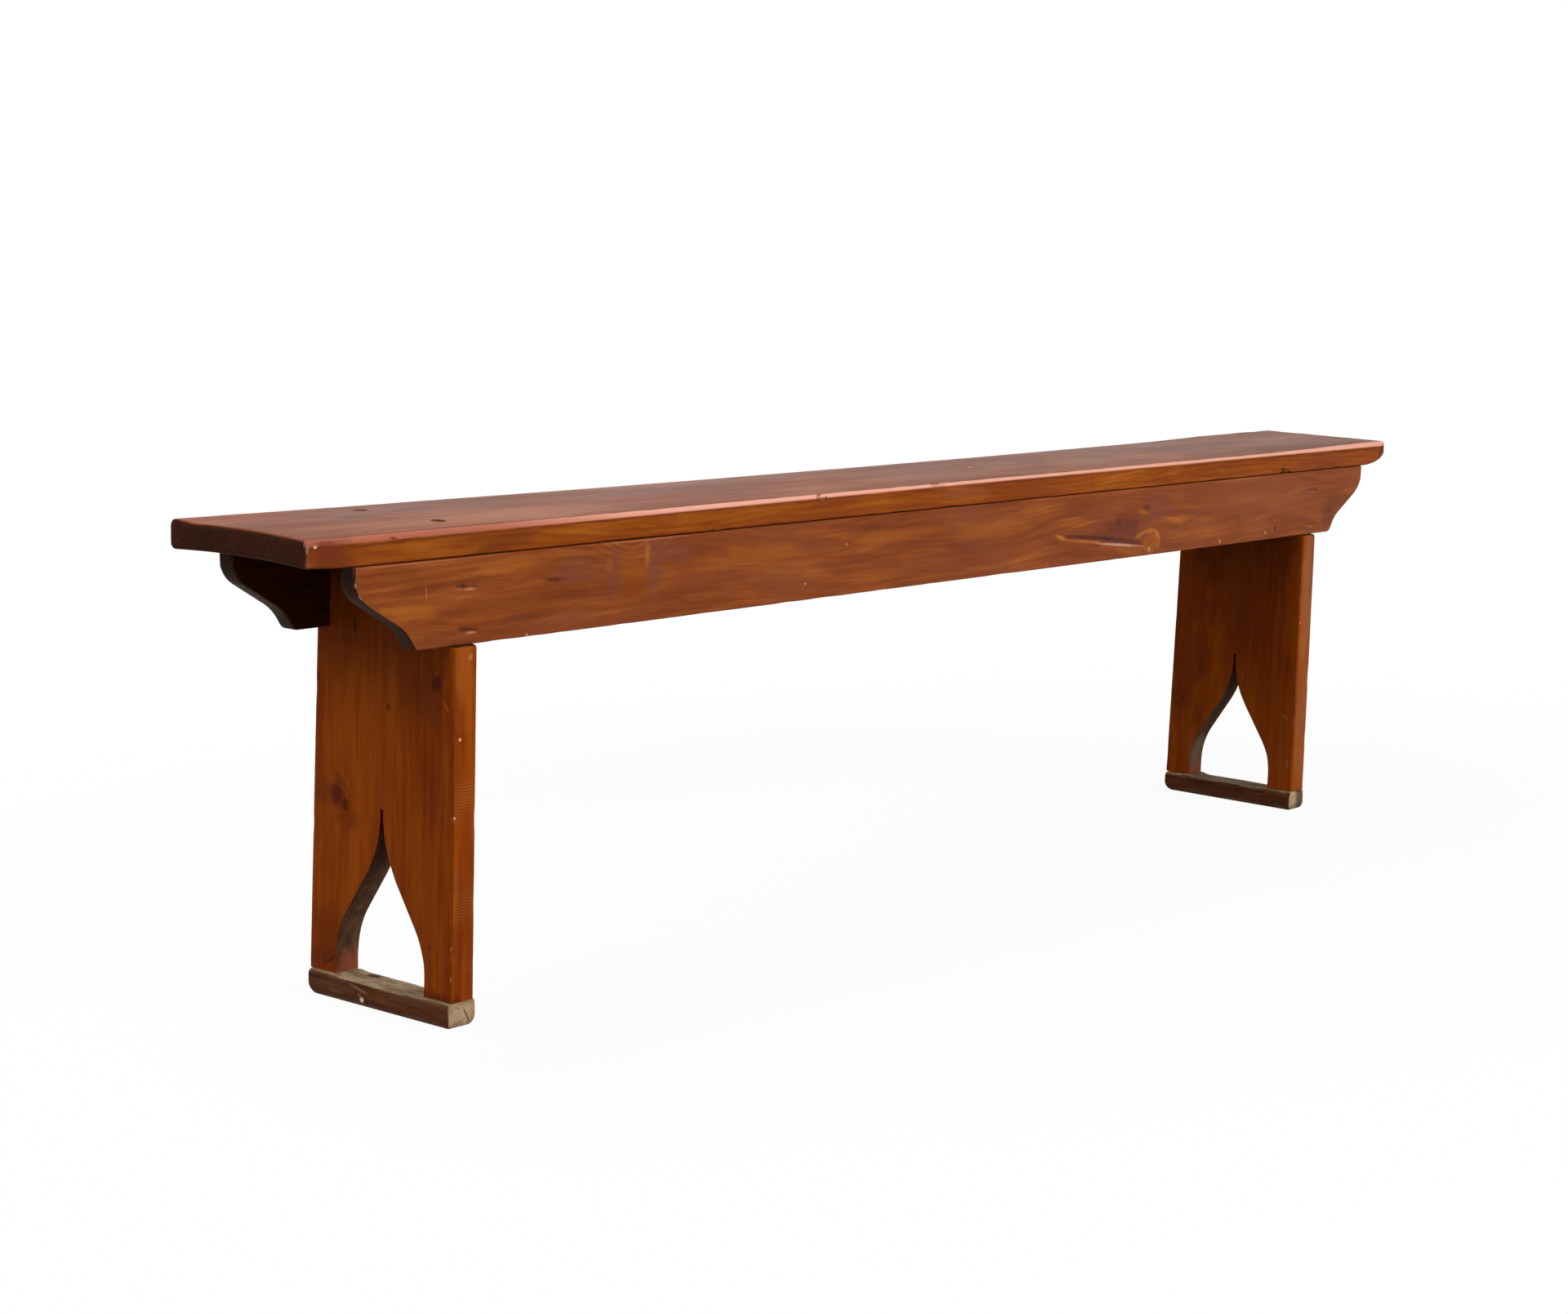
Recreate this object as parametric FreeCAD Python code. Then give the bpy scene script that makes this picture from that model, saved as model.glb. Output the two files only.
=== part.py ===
import FreeCAD, Part
import math
import os

# A long backless bench of stained pine: a cupped seat plank on two rails with ogee ends, carried by
# two slab legs that stand on sole boards. Each leg has a keel arch that runs up into a saw kerf.
# The rails sit in notches at the legs' top corners and are nailed there with cut nails. The seat is
# screwed down into each leg under wooden pellets and nailed along both rails.
# X runs along the bench, Y from front to back, Z up. The origin is on the floor, midway between the
# legs and under the middle of their width.
# All sizes are in millimetres.

# Seat plank. Its height is that of its long edges, and the middle stands higher by the crown.
SEAT_LENGTH = 1846.0
SEAT_WIDTH = 175.0
SEAT_THICKNESS = 26.0
SEAT_EDGE_HEIGHT = 450.0
SEAT_CROWN = 3.0
SEAT_FRONT_ROUND = 6.0
SEAT_BACK_ROUND = 4.0
SEAT_UNDER_ROUND = 3.0

# Rails, which stop short of the seat at each end. The ogee starts below a short square nib, bulges,
# runs straight and hollows to the lower edge.
RAIL_END_GAP = 55.0
RAIL_HEIGHT = 79.0
RAIL_THICKNESS = 18.0
RAIL_SETBACK = 1.0
RAIL_ROUND = 2.0
OGEE_NIB = 8.0
OGEE_BULGE_RADIUS = 30.0
OGEE_HOLLOW_RADIUS = 55.0
OGEE_SLOPE_DEG = 29.5
OGEE_FOOT_DEG = 65.0
OGEE_TOE_ROUND = 3.0

# Legs, placed from the rails' ends to the middle of their thickness. Under the rails each edge stands
# this much wider than half the seat, and it splays from there to the sole. The legs and soles lie
# forward of the seat's middle by the lead.
LEG_INSET = 131.0
LEG_THICKNESS = 29.0
LEG_PROUD = 1.25
LEG_SPLAY = 3.9
LEG_LEAD = 3.0
LEG_ROUND = 3.0

# Keel arch: upright jambs, a bulging curve, a straight slope, a long hollow curve and the kerf.
ARCH_POST_WIDTH = 35.5
ARCH_JAMB = 16.5
ARCH_BULGE_RADIUS = 80.0
ARCH_HOLLOW_RADIUS = 110.0
ARCH_SLOPE_DEG = 33.0
KERF_WIDTH = 3.0
KERF_LENGTH = 4.0

# Sole boards under the legs.
SOLE_HEIGHT = 24.0
SOLE_OVERHANG = 0.5
SOLE_PROUD = 3.0
SOLE_HEEL_ROUND = 7.0
SOLE_TOP_ROUND = 2.5

# Cut nails: a flat shank that tapers in width to a blunt point, under a small oblong head. A rail's two
# nails at each leg lie below its top edge by these shares of its height.
NAIL_LENGTH = 58.0
NAIL_SHANK_WIDTH = 4.6
NAIL_POINT_WIDTH = 2.0
NAIL_SHANK_THICKNESS = 2.4
NAIL_HEAD_WIDTH = 7.0
NAIL_HEAD_DEPTH = 4.2
NAIL_HEAD_THICKNESS = 1.8
NAIL_PUNCHED = 1.5
RAIL_NAIL_SHARES = (0.33, 0.82)
SEAT_NAIL_COUNT = 5

# Countersunk screws through the seat into the legs, each under a wooden pellet.
SCREW_LENGTH = 62.0
SCREW_SHANK_RADIUS = 2.6
SCREW_HEAD_RADIUS = 4.8
SCREW_HEAD_HEIGHT = 3.0
SCREW_POINT_LENGTH = 8.0
SCREW_SPACING = 100.0
PELLET_RADIUS = 7.0
PELLET_THICKNESS = 7.0

# In each leg the rail nails keep this far outside the middle of its thickness and the screws this far
# inside, so that they pass each other.
FIXING_STAGGER = 4.0

# One overrun serves every cut that has to pass clean through.
OVERRUN = 10.0

# Levels, faces and places that the pieces share.
SEAT_HALF_WIDTH = SEAT_WIDTH / 2
SEAT_UNDER_HEIGHT = SEAT_EDGE_HEIGHT - SEAT_THICKNESS
RAIL_FACE = SEAT_HALF_WIDTH - RAIL_SETBACK
RAIL_BACK = RAIL_FACE - RAIL_THICKNESS
RAIL_UNDER_HEIGHT = SEAT_UNDER_HEIGHT - RAIL_HEIGHT
RAIL_LENGTH = SEAT_LENGTH - 2 * RAIL_END_GAP
LEG_CENTRE = RAIL_LENGTH / 2 - LEG_INSET
LEG_TOP_HALF_WIDTH = SEAT_HALF_WIDTH + LEG_PROUD
LEG_BASE_WIDTH = 2 * (LEG_TOP_HALF_WIDTH + LEG_SPLAY)
ARCH_WIDTH = LEG_BASE_WIDTH - 2 * ARCH_POST_WIDTH
SEAT_NAIL_PITCH = 2 * LEG_CENTRE / SEAT_NAIL_COUNT


def vec(x, y, z):
    return FreeCAD.Vector(x, y, z)


def line(a, b):
    return Part.LineSegment(a, b).toShape()


def arc(a, middle, b):
    return Part.Arc(a, middle, b).toShape()


def filled(edges):
    return Part.Face(Part.Wire(edges))


def rounded(solid, radius, chosen):
    """The solid with the edges that chosen(edge) picks rounded over."""
    edges = [e for e in solid.Edges if chosen(e)]
    return solid.makeFillet(radius, edges)


def along_x(edge, y, z):
    """True for a straight edge parallel to X whose middle is at this y and z."""
    middle = edge.CenterOfMass
    size = edge.BoundBox
    return size.XLength > size.YLength + size.ZLength and close(middle.y, y) and close(middle.z, z)


def close(a, b):
    return abs(a - b) <= TOUCH


# Two sizes this near each other, as a share of the seat's thickness, are the same.
TOUCH_SHARE = 0.001
TOUCH = TOUCH_SHARE * SEAT_THICKNESS


# The seat's faces are arcs of one circle each, with the same crown at the top and underneath.
CROWN_RADIUS = (SEAT_HALF_WIDTH**2 + SEAT_CROWN**2) / (2 * SEAT_CROWN)


def cup_height(y, edge_height):
    """Height of a cupped face at y, where its long edges lie at edge_height."""
    drop = CROWN_RADIUS - math.sqrt(CROWN_RADIUS**2 - y**2)
    return edge_height + SEAT_CROWN - drop


def space_above(edge_height):
    """All the room above a cupped face, past the seat's outline on every side."""
    reach = SEAT_HALF_WIDTH + OVERRUN
    start = -SEAT_LENGTH / 2 - OVERRUN
    roof = edge_height + SEAT_THICKNESS + SEAT_CROWN + OVERRUN
    low = cup_height(reach, edge_height)
    front, back = vec(start, -reach, low), vec(start, reach, low)
    roof_back, roof_front = vec(start, reach, roof), vec(start, -reach, roof)
    crest = vec(start, 0, edge_height + SEAT_CROWN)
    section = filled([
        arc(front, crest, back),
        line(back, roof_back),
        line(roof_back, roof_front),
        line(roof_front, front),
    ])
    return section.extrude(vec(SEAT_LENGTH + 2 * OVERRUN, 0, 0))


def seat_blank():
    """The cupped plank with square arrises."""
    start = -SEAT_LENGTH / 2
    top, under = SEAT_EDGE_HEIGHT, SEAT_UNDER_HEIGHT
    front_top, back_top = vec(start, -SEAT_HALF_WIDTH, top), vec(start, SEAT_HALF_WIDTH, top)
    front_low, back_low = vec(start, -SEAT_HALF_WIDTH, under), vec(start, SEAT_HALF_WIDTH, under)
    section = filled([
        arc(front_low, vec(start, 0, under + SEAT_CROWN), back_low),
        line(back_low, back_top),
        arc(back_top, vec(start, 0, top + SEAT_CROWN), front_top),
        line(front_top, front_low),
    ])
    return section.extrude(vec(SEAT_LENGTH, 0, 0))


def seat_plank():
    plank = seat_blank()
    edges = [
        (-SEAT_HALF_WIDTH, SEAT_EDGE_HEIGHT, SEAT_FRONT_ROUND),
        (SEAT_HALF_WIDTH, SEAT_EDGE_HEIGHT, SEAT_BACK_ROUND),
        (-SEAT_HALF_WIDTH, SEAT_UNDER_HEIGHT, SEAT_UNDER_ROUND),
        (SEAT_HALF_WIDTH, SEAT_UNDER_HEIGHT, SEAT_UNDER_ROUND),
    ]
    for y, z, radius in edges:
        plank = rounded(plank, radius, lambda e: along_x(e, y, z))
    return plank


def ogee_points():
    """The left ogee's joints and arc middles, as distances in from the end and down from the top."""
    slope, foot = math.radians(OGEE_SLOPE_DEG), math.radians(OGEE_FOOT_DEG)
    turn = math.pi / 2 - slope

    def bulge(angle):
        return (
            OGEE_BULGE_RADIUS * (1 - math.cos(angle)),
            OGEE_NIB + OGEE_BULGE_RADIUS * math.sin(angle),
        )

    def hollow(heading, start):
        return (
            start[0] + OGEE_HOLLOW_RADIUS * (math.sin(heading) - math.sin(slope)),
            start[1] + OGEE_HOLLOW_RADIUS * (math.cos(slope) - math.cos(heading)),
        )

    bulge_end = bulge(turn)
    hollow_drop = OGEE_HOLLOW_RADIUS * (math.cos(slope) - math.cos(foot))
    run_drop = RAIL_HEIGHT - bulge_end[1] - hollow_drop
    run_end = (bulge_end[0] + run_drop / math.tan(slope), bulge_end[1] + run_drop)
    return {
        "nib": (0.0, OGEE_NIB),
        "bulge_middle": bulge(turn / 2),
        "bulge_end": bulge_end,
        "run_end": run_end,
        "hollow_middle": hollow((slope + foot) / 2, run_end),
        "toe": hollow(foot, run_end),
    }


def rail(side):
    """The rail at the front (side -1) or the back (side 1), with its top fitted to the seat."""
    points = ogee_points()
    half = RAIL_LENGTH / 2
    face = side * RAIL_FACE
    blank_top = SEAT_UNDER_HEIGHT + SEAT_CROWN

    def at(name, end):
        inward, down = points[name]
        return vec(end * (half - inward), face, SEAT_UNDER_HEIGHT - down)

    def end_edges(end):
        return [
            line(vec(end * half, face, blank_top), at("nib", end)),
            arc(at("nib", end), at("bulge_middle", end), at("bulge_end", end)),
            line(at("bulge_end", end), at("run_end", end)),
            arc(at("run_end", end), at("hollow_middle", end), at("toe", end)),
        ]

    outline = end_edges(-1) + [line(at("toe", -1), at("toe", 1))] + end_edges(1)[::-1]
    outline.append(line(vec(half, face, blank_top), vec(-half, face, blank_top)))
    board = filled(outline).extrude(vec(0, -side * RAIL_THICKNESS, 0))
    toe_x = half - points["toe"][0]
    board = rounded(
        board,
        OGEE_TOE_ROUND,
        lambda e: close(abs(e.CenterOfMass.x), toe_x) and close(e.CenterOfMass.z, RAIL_UNDER_HEIGHT),
    )
    board = rounded(
        board,
        RAIL_ROUND,
        lambda e: close(e.BoundBox.YLength, 0) and e.CenterOfMass.z < SEAT_UNDER_HEIGHT - OGEE_NIB / 2,
    )
    return board.cut(space_above(SEAT_UNDER_HEIGHT))


def arch(x_start):
    """The keel arch's opening with its kerf, run through the leg and down past its base."""
    slope = math.radians(ARCH_SLOPE_DEG)
    half, kerf = ARCH_WIDTH / 2, KERF_WIDTH / 2
    spring = SOLE_HEIGHT + ARCH_JAMB
    floor = SOLE_HEIGHT - OVERRUN

    def bulge(angle):
        return (
            half - ARCH_BULGE_RADIUS * (1 - math.cos(angle)),
            spring + ARCH_BULGE_RADIUS * math.sin(angle),
        )

    bulge_end = bulge(slope)
    hollow_in = kerf + ARCH_HOLLOW_RADIUS * (1 - math.cos(slope))
    run_end_z = bulge_end[1] + (bulge_end[0] - hollow_in) / math.tan(slope)
    kerf_foot = run_end_z + ARCH_HOLLOW_RADIUS * math.sin(slope)
    half_turn = slope / 2
    hollow_middle = (
        kerf + ARCH_HOLLOW_RADIUS * (1 - math.cos(half_turn)),
        kerf_foot - ARCH_HOLLOW_RADIUS * math.sin(half_turn),
    )

    def at(side, point):
        return vec(x_start, side * point[0] - LEG_LEAD, point[1])

    def side_edges(side):
        return [
            line(at(side, (half, floor)), at(side, (half, spring))),
            arc(at(side, (half, spring)), at(side, bulge(half_turn)), at(side, bulge_end)),
            line(at(side, bulge_end), at(side, (hollow_in, run_end_z))),
            arc(at(side, (hollow_in, run_end_z)), at(side, hollow_middle), at(side, (kerf, kerf_foot))),
            line(at(side, (kerf, kerf_foot)), at(side, (kerf, kerf_foot + KERF_LENGTH))),
        ]

    top = line(at(-1, (kerf, kerf_foot + KERF_LENGTH)), at(1, (kerf, kerf_foot + KERF_LENGTH)))
    bottom = line(at(1, (half, floor)), at(-1, (half, floor)))
    outline = side_edges(-1) + [top] + side_edges(1)[::-1] + [bottom]
    return filled(outline).extrude(vec(LEG_THICKNESS + 2 * OVERRUN, 0, 0))


def leg(side):
    """The slab leg at the left (side -1) or the right (side 1)."""
    x = side * LEG_CENTRE - LEG_THICKNESS / 2
    base = LEG_BASE_WIDTH / 2
    blank_top = SEAT_UNDER_HEIGHT + SEAT_CROWN + OVERRUN
    corners = [
        vec(x, -base - LEG_LEAD, SOLE_HEIGHT),
        vec(x, -LEG_TOP_HALF_WIDTH - LEG_LEAD, RAIL_UNDER_HEIGHT),
        vec(x, -RAIL_BACK, RAIL_UNDER_HEIGHT),
        vec(x, -RAIL_BACK, blank_top),
        vec(x, RAIL_BACK, blank_top),
        vec(x, RAIL_BACK, RAIL_UNDER_HEIGHT),
        vec(x, LEG_TOP_HALF_WIDTH - LEG_LEAD, RAIL_UNDER_HEIGHT),
        vec(x, base - LEG_LEAD, SOLE_HEIGHT),
    ]
    outline = [line(a, b) for a, b in zip(corners, corners[1:] + corners[:1])]
    board = filled(outline).extrude(vec(LEG_THICKNESS, 0, 0))
    taper_middle = (base + LEG_TOP_HALF_WIDTH) / 2
    board = rounded(
        board,
        LEG_ROUND,
        lambda e: close(abs(e.CenterOfMass.y + LEG_LEAD), taper_middle) and close(e.BoundBox.XLength, 0),
    )
    return board.cut(arch(x - OVERRUN)).cut(space_above(SEAT_UNDER_HEIGHT))


def sole(side):
    """The sole board under one leg, worn round at both heels."""
    width = LEG_THICKNESS + 2 * SOLE_PROUD
    length = LEG_BASE_WIDTH + 2 * SOLE_OVERHANG
    corner = vec(side * LEG_CENTRE - width / 2, -length / 2 - LEG_LEAD, 0)
    board = Part.makeBox(width, length, SOLE_HEIGHT, corner)
    heel_y = length / 2

    def heel(e, z):
        return close(abs(e.CenterOfMass.y + LEG_LEAD), heel_y) and close(e.CenterOfMass.z, z)

    board = rounded(board, SOLE_HEEL_ROUND, lambda e: heel(e, 0))
    return rounded(board, SOLE_TOP_ROUND, lambda e: heel(e, SOLE_HEIGHT))


def cut_nail():
    """A cut nail that points down, with the top of its head at the origin and its width along X."""
    head = Part.makeBox(
        NAIL_HEAD_WIDTH,
        NAIL_HEAD_DEPTH,
        NAIL_HEAD_THICKNESS,
        vec(-NAIL_HEAD_WIDTH / 2, -NAIL_HEAD_DEPTH / 2, -NAIL_HEAD_THICKNESS),
    )
    shoulder, point = NAIL_SHANK_WIDTH / 2, NAIL_POINT_WIDTH / 2
    y = -NAIL_SHANK_THICKNESS / 2
    corners = [
        vec(-shoulder, y, -NAIL_HEAD_THICKNESS),
        vec(shoulder, y, -NAIL_HEAD_THICKNESS),
        vec(point, y, -NAIL_LENGTH),
        vec(-point, y, -NAIL_LENGTH),
    ]
    outline = [line(a, b) for a, b in zip(corners, corners[1:] + corners[:1])]
    shank = filled(outline).extrude(vec(0, NAIL_SHANK_THICKNESS, 0))
    return head.fuse(shank).removeSplitter()


def punch_hole():
    """The pocket above a nail's head, where a punch sent it below the surface."""
    return Part.makeBox(
        NAIL_HEAD_WIDTH,
        NAIL_HEAD_DEPTH,
        OVERRUN,
        vec(-NAIL_HEAD_WIDTH / 2, -NAIL_HEAD_DEPTH / 2, 0),
    )


def driven(shape, surface, heading):
    """A shape made for the origin and pointing down, driven in at a surface point along heading."""
    turn = FreeCAD.Rotation(vec(0, 0, -1), heading)
    placed = shape.copy()
    placed.Placement = FreeCAD.Placement(surface + heading * NAIL_PUNCHED, turn)
    return placed


def nails_at(places):
    """The nails of one group, and the pockets over their heads, from (surface point, heading) pairs."""
    nails = [driven(cut_nail(), surface, heading) for surface, heading in places]
    pockets = [driven(punch_hole(), surface, heading) for surface, heading in places]
    return nails, pockets


def rail_nail_places(leg_side, rail_side):
    inward = vec(0, -rail_side, 0)
    x = leg_side * (LEG_CENTRE + FIXING_STAGGER)
    heights = [SEAT_UNDER_HEIGHT - share * RAIL_HEIGHT for share in RAIL_NAIL_SHARES]
    return [(vec(x, rail_side * RAIL_FACE, z), inward) for z in heights]


def seat_nail_places(rail_side):
    y = rail_side * (RAIL_FACE + RAIL_BACK) / 2
    z = cup_height(y, SEAT_EDGE_HEIGHT)
    first = -SEAT_NAIL_PITCH * (SEAT_NAIL_COUNT - 1) / 2
    return [(vec(first + n * SEAT_NAIL_PITCH, y, z), vec(0, 0, -1)) for n in range(SEAT_NAIL_COUNT)]


def sole_nail_places(leg_side):
    y = (LEG_BASE_WIDTH + ARCH_WIDTH) / 4
    x = leg_side * LEG_CENTRE
    return [(vec(x, end * y - LEG_LEAD, 0), vec(0, 0, 1)) for end in (-1, 1)]


def wood_screw():
    """A countersunk screw that points down, with the top of its head at the origin."""
    outline = [
        vec(0, 0, 0),
        vec(SCREW_HEAD_RADIUS, 0, 0),
        vec(SCREW_SHANK_RADIUS, 0, -SCREW_HEAD_HEIGHT),
        vec(SCREW_SHANK_RADIUS, 0, SCREW_POINT_LENGTH - SCREW_LENGTH),
        vec(0, 0, -SCREW_LENGTH),
    ]
    half = filled([line(a, b) for a, b in zip(outline, outline[1:] + outline[:1])])
    return half.revolve(vec(0, 0, 0), vec(0, 0, 1), 360)


def seat_fixings(leg_side):
    """One leg's two screws, their pellets, and the holes that the seat needs for both."""
    screws, pellets, holes = [], [], []
    for end in (-1, 1):
        y = end * SCREW_SPACING / 2
        head_z = cup_height(y, SEAT_EDGE_HEIGHT) - PELLET_THICKNESS
        place = vec(leg_side * (LEG_CENTRE - FIXING_STAGGER), y, head_z)
        screw = wood_screw().translated(place)
        well = Part.makeCylinder(PELLET_RADIUS, PELLET_THICKNESS + OVERRUN, place)
        screws.append(screw)
        pellets.append(well.common(seat_blank()))
        holes += [screw, well]
    return screws, pellets, holes


def build():
    """Every node by name, each a solid or a group of separate like solids."""
    boards = {
        "seat_plank": seat_plank(),
        "front_rail": rail(-1),
        "back_rail": rail(1),
        "left_leg": leg(-1),
        "right_leg": leg(1),
        "left_sole": sole(-1),
        "right_sole": sole(1),
    }
    groups = {}
    cuts = {name: [] for name in boards}
    for rail_side, rail_name in ((-1, "front"), (1, "back")):
        nails, pockets = nails_at(seat_nail_places(rail_side))
        groups[rail_name + "_seat_nails"] = nails
        cuts["seat_plank"] += nails + pockets
        cuts[rail_name + "_rail"] += nails
    for leg_side, leg_name in ((-1, "left"), (1, "right")):
        for rail_side, rail_name in ((-1, "front"), (1, "back")):
            nails, pockets = nails_at(rail_nail_places(leg_side, rail_side))
            groups[leg_name + "_" + rail_name + "_rail_nails"] = nails
            cuts[rail_name + "_rail"] += nails + pockets
            cuts[leg_name + "_leg"] += nails
        nails, pockets = nails_at(sole_nail_places(leg_side))
        groups[leg_name + "_sole_nails"] = nails
        cuts[leg_name + "_sole"] += nails + pockets
        cuts[leg_name + "_leg"] += nails
        screws, pellets, holes = seat_fixings(leg_side)
        groups[leg_name + "_seat_screws"] = screws
        groups[leg_name + "_seat_pellets"] = pellets
        cuts["seat_plank"] += holes
        cuts[leg_name + "_leg"] += holes
    nodes = {name: [board.cut(cuts[name])] for name, board in boards.items()}
    nodes.update(groups)
    return nodes


def solid_list(shapes):
    return [s for shape in shapes for s in shape.Solids]


# All is made about the seat's middle, then set back by the lead so that the soles stand over the origin.
os.makedirs("parts", exist_ok=True)
for node, shapes in build().items():
    solids = solid_list(shapes)
    shape = solids[0] if len(solids) == 1 else Part.makeCompound(solids)
    shape = shape.translated(vec(0, LEG_LEAD, 0))
    shape.exportStep("parts/" + node + ".step")
    valid = all(s.isValid() for s in solids)
    print(node, "solids", len(solids), "volume", round(shape.Volume, 1), "valid", valid)
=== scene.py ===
import math
import bmesh
import bpy
from mathutils import Matrix, Vector, noise


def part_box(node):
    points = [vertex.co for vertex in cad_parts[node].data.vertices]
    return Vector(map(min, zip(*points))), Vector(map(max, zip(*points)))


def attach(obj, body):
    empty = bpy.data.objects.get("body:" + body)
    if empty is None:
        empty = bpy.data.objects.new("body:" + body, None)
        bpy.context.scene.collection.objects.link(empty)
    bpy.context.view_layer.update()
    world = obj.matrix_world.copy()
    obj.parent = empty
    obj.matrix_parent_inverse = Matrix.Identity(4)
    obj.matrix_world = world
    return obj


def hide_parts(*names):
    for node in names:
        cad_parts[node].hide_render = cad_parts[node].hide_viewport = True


# A backless bench of stained and varnished pine. The boards are dense lofts with worn arrises, dents
# and chips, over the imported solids. The nails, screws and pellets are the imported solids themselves.
# Lengths are in metres. X runs along the bench, Y from front to back, Z up.

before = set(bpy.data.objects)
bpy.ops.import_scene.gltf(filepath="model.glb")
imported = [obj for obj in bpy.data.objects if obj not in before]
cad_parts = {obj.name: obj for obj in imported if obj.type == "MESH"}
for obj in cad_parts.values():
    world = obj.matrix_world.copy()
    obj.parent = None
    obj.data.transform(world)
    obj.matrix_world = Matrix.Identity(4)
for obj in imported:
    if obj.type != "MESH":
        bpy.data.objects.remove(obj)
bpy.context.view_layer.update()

MM = 0.001

# Sizes of the boards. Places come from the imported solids. The boards and their figures are placed about
# the seat's middle, and every board is then set back to where the seat lies. The legs' middle is forward.
CROWN = 3 * MM
SEAT_THICKNESS = 26 * MM
RAIL_THICKNESS = 18 * MM
OGEE_NIB = 8 * MM
OGEE_BULGE = 30 * MM
OGEE_HOLLOW = 55 * MM
OGEE_SLOPE = math.radians(29.5)
OGEE_FOOT = math.radians(65)
TOE_ROUND = 4.5 * MM
LEG_TOP = 88.75 * MM
ARCH_POST = 35.5 * MM
ARCH_JAMB = 16.5 * MM
ARCH_BULGE = 80 * MM
ARCH_HOLLOW = 110 * MM
ARCH_SLOPE = math.radians(33)
KERF = 3 * MM
KERF_LENGTH = 4 * MM

seat_low, seat_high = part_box("seat_plank")
rail_low, rail_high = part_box("front_rail")
leg_low, leg_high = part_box("left_leg")
sole_low, sole_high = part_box("left_sole")
SETBACK = (seat_low[1] + seat_high[1]) / 2
SEAT_END = seat_high[0]
SEAT_HALF = seat_high[1] - SETBACK
SEAT_EDGE = seat_high[2] - CROWN
UNDER_EDGE = SEAT_EDGE - SEAT_THICKNESS
RAIL_END = rail_high[0]
RAIL_FACE = SETBACK - rail_low[1]
RAIL_BACK = RAIL_FACE - RAIL_THICKNESS
RAIL_UNDER = rail_low[2]
LEG_MIDDLE = -SETBACK
LEG_BASE = leg_high[1]
LEG_CENTRE = (leg_low[0] + leg_high[0]) / 2
LEG_HALF = (leg_high[0] - leg_low[0]) / 2
SOLE_TOP = sole_high[2]

# Mesh: points in an arris, how far its wear reaches over the flats, and how far an end face's middle is in.
ARC_STEPS = 6
EDGE_REACH = 5 * MM
CAP_INSET = 4 * MM
CAP_KEEP = 0.35

# How far the wear round an end face reaches along the board.
END_WEAR = 3 * MM

# How far the middle of a rounded arris lies from its corner, as a share of the radius.
ARRIS_SHARE = 0.42
SHARP_ANGLE = math.radians(50)

# Radii of the boards' arrises in millimetres, in the order of ring's corners.
SEAT_ROUNDS = (3, 6, 6, 5.5)
RAIL_ROUNDS = (2, 2, 1.2, 1.2)
SOLE_ROUNDS = (4.5, 7.5, 3, 3.5)


def crown_at(y):
    """How far a cupped face stands above its long edges at y."""
    return CROWN * (1 - (y / SEAT_HALF) ** 2)


def smooth(low, high, value):
    """0 below low, 1 above high, and a smooth step between. low may be the larger one."""
    share = min(max((value - low) / (high - low), 0), 1)
    return share * share * (3 - 2 * share)


def spread(start, end, step):
    """Values from start to end at most a step apart, with both ends."""
    count = max(1, math.ceil(abs(end - start) / step))
    return [start + (end - start) * n / count for n in range(count + 1)]


def stations(start, end, step, fine_step, places, reach):
    """Values from start to end: a fine step within reach of each place and a wider one elsewhere."""
    values = [start]
    while values[-1] < end - fine_step:
        near = any(abs(values[-1] - place) < reach for place in places)
        values.append(min(end, values[-1] + (fine_step if near else step)))
    values[-1] = end
    return values


def ring(low_u, high_u, low_v, high_v, radii, parts):
    """A closed outline of a rounded rectangle, as (u, v, edge) points, anticlockwise from the lower left.

    radii are of the corners in that order, parts are the steps along a side of u and of v, and edge is
    1 on an arris and 0 on the flats."""
    corners = [(low_u, low_v), (high_u, low_v), (high_u, high_v), (low_u, high_v)]
    turns = [math.pi, 1.5 * math.pi, 0, 0.5 * math.pi]
    signs = [(1, 1), (-1, 1), (-1, -1), (1, -1)]
    arcs = []
    for (u, v), radius, turn, (su, sv) in zip(corners, radii, turns, signs):
        centre_u, centre_v = u + su * radius, v + sv * radius
        angles = [turn + 0.5 * math.pi * n / ARC_STEPS for n in range(ARC_STEPS + 1)]
        arcs.append([(centre_u + radius * math.cos(a), centre_v + radius * math.sin(a)) for a in angles])
    points = []
    for index, here in enumerate(arcs):
        after = arcs[(index + 1) % len(arcs)]
        (u0, v0), (u1, v1) = here[-1], after[0]
        points += here
        shares = spread(0, 1, 1 / parts[index % 2])[1:-1]
        points += [(u0 + (u1 - u0) * s, v0 + (v1 - v0) * s) for s in shares]
    marked = []
    for u, v in points:
        nearest = min(math.hypot(u - cu, v - cv) - ARRIS_SHARE * r for (cu, cv), r in zip(corners, radii))
        marked.append((u, v, smooth(EDGE_REACH, 0, nearest)))
    return marked


def end_inset(distance, radius):
    """How far a face has drawn in at this distance from an end that is rounded to the radius."""
    if distance >= radius:
        return 0
    return radius - math.sqrt(radius**2 - (radius - distance) ** 2)


def cap_ring(points):
    """A ring drawn in from the last one over the end face, clear of the worn arris."""
    us, vs = [u for s, u, v, edge in points], [v for s, u, v, edge in points]
    mid_u, mid_v = (min(us) + max(us)) / 2, (min(vs) + max(vs)) / 2
    keep_u = max(CAP_KEEP, 1 - CAP_INSET / (max(us) - mid_u))
    keep_v = max(CAP_KEEP, 1 - CAP_INSET / (max(vs) - mid_v))
    return [(s, mid_u + (u - mid_u) * keep_u, mid_v + (v - mid_v) * keep_v, 0.0) for s, u, v, edge in points]


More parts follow.
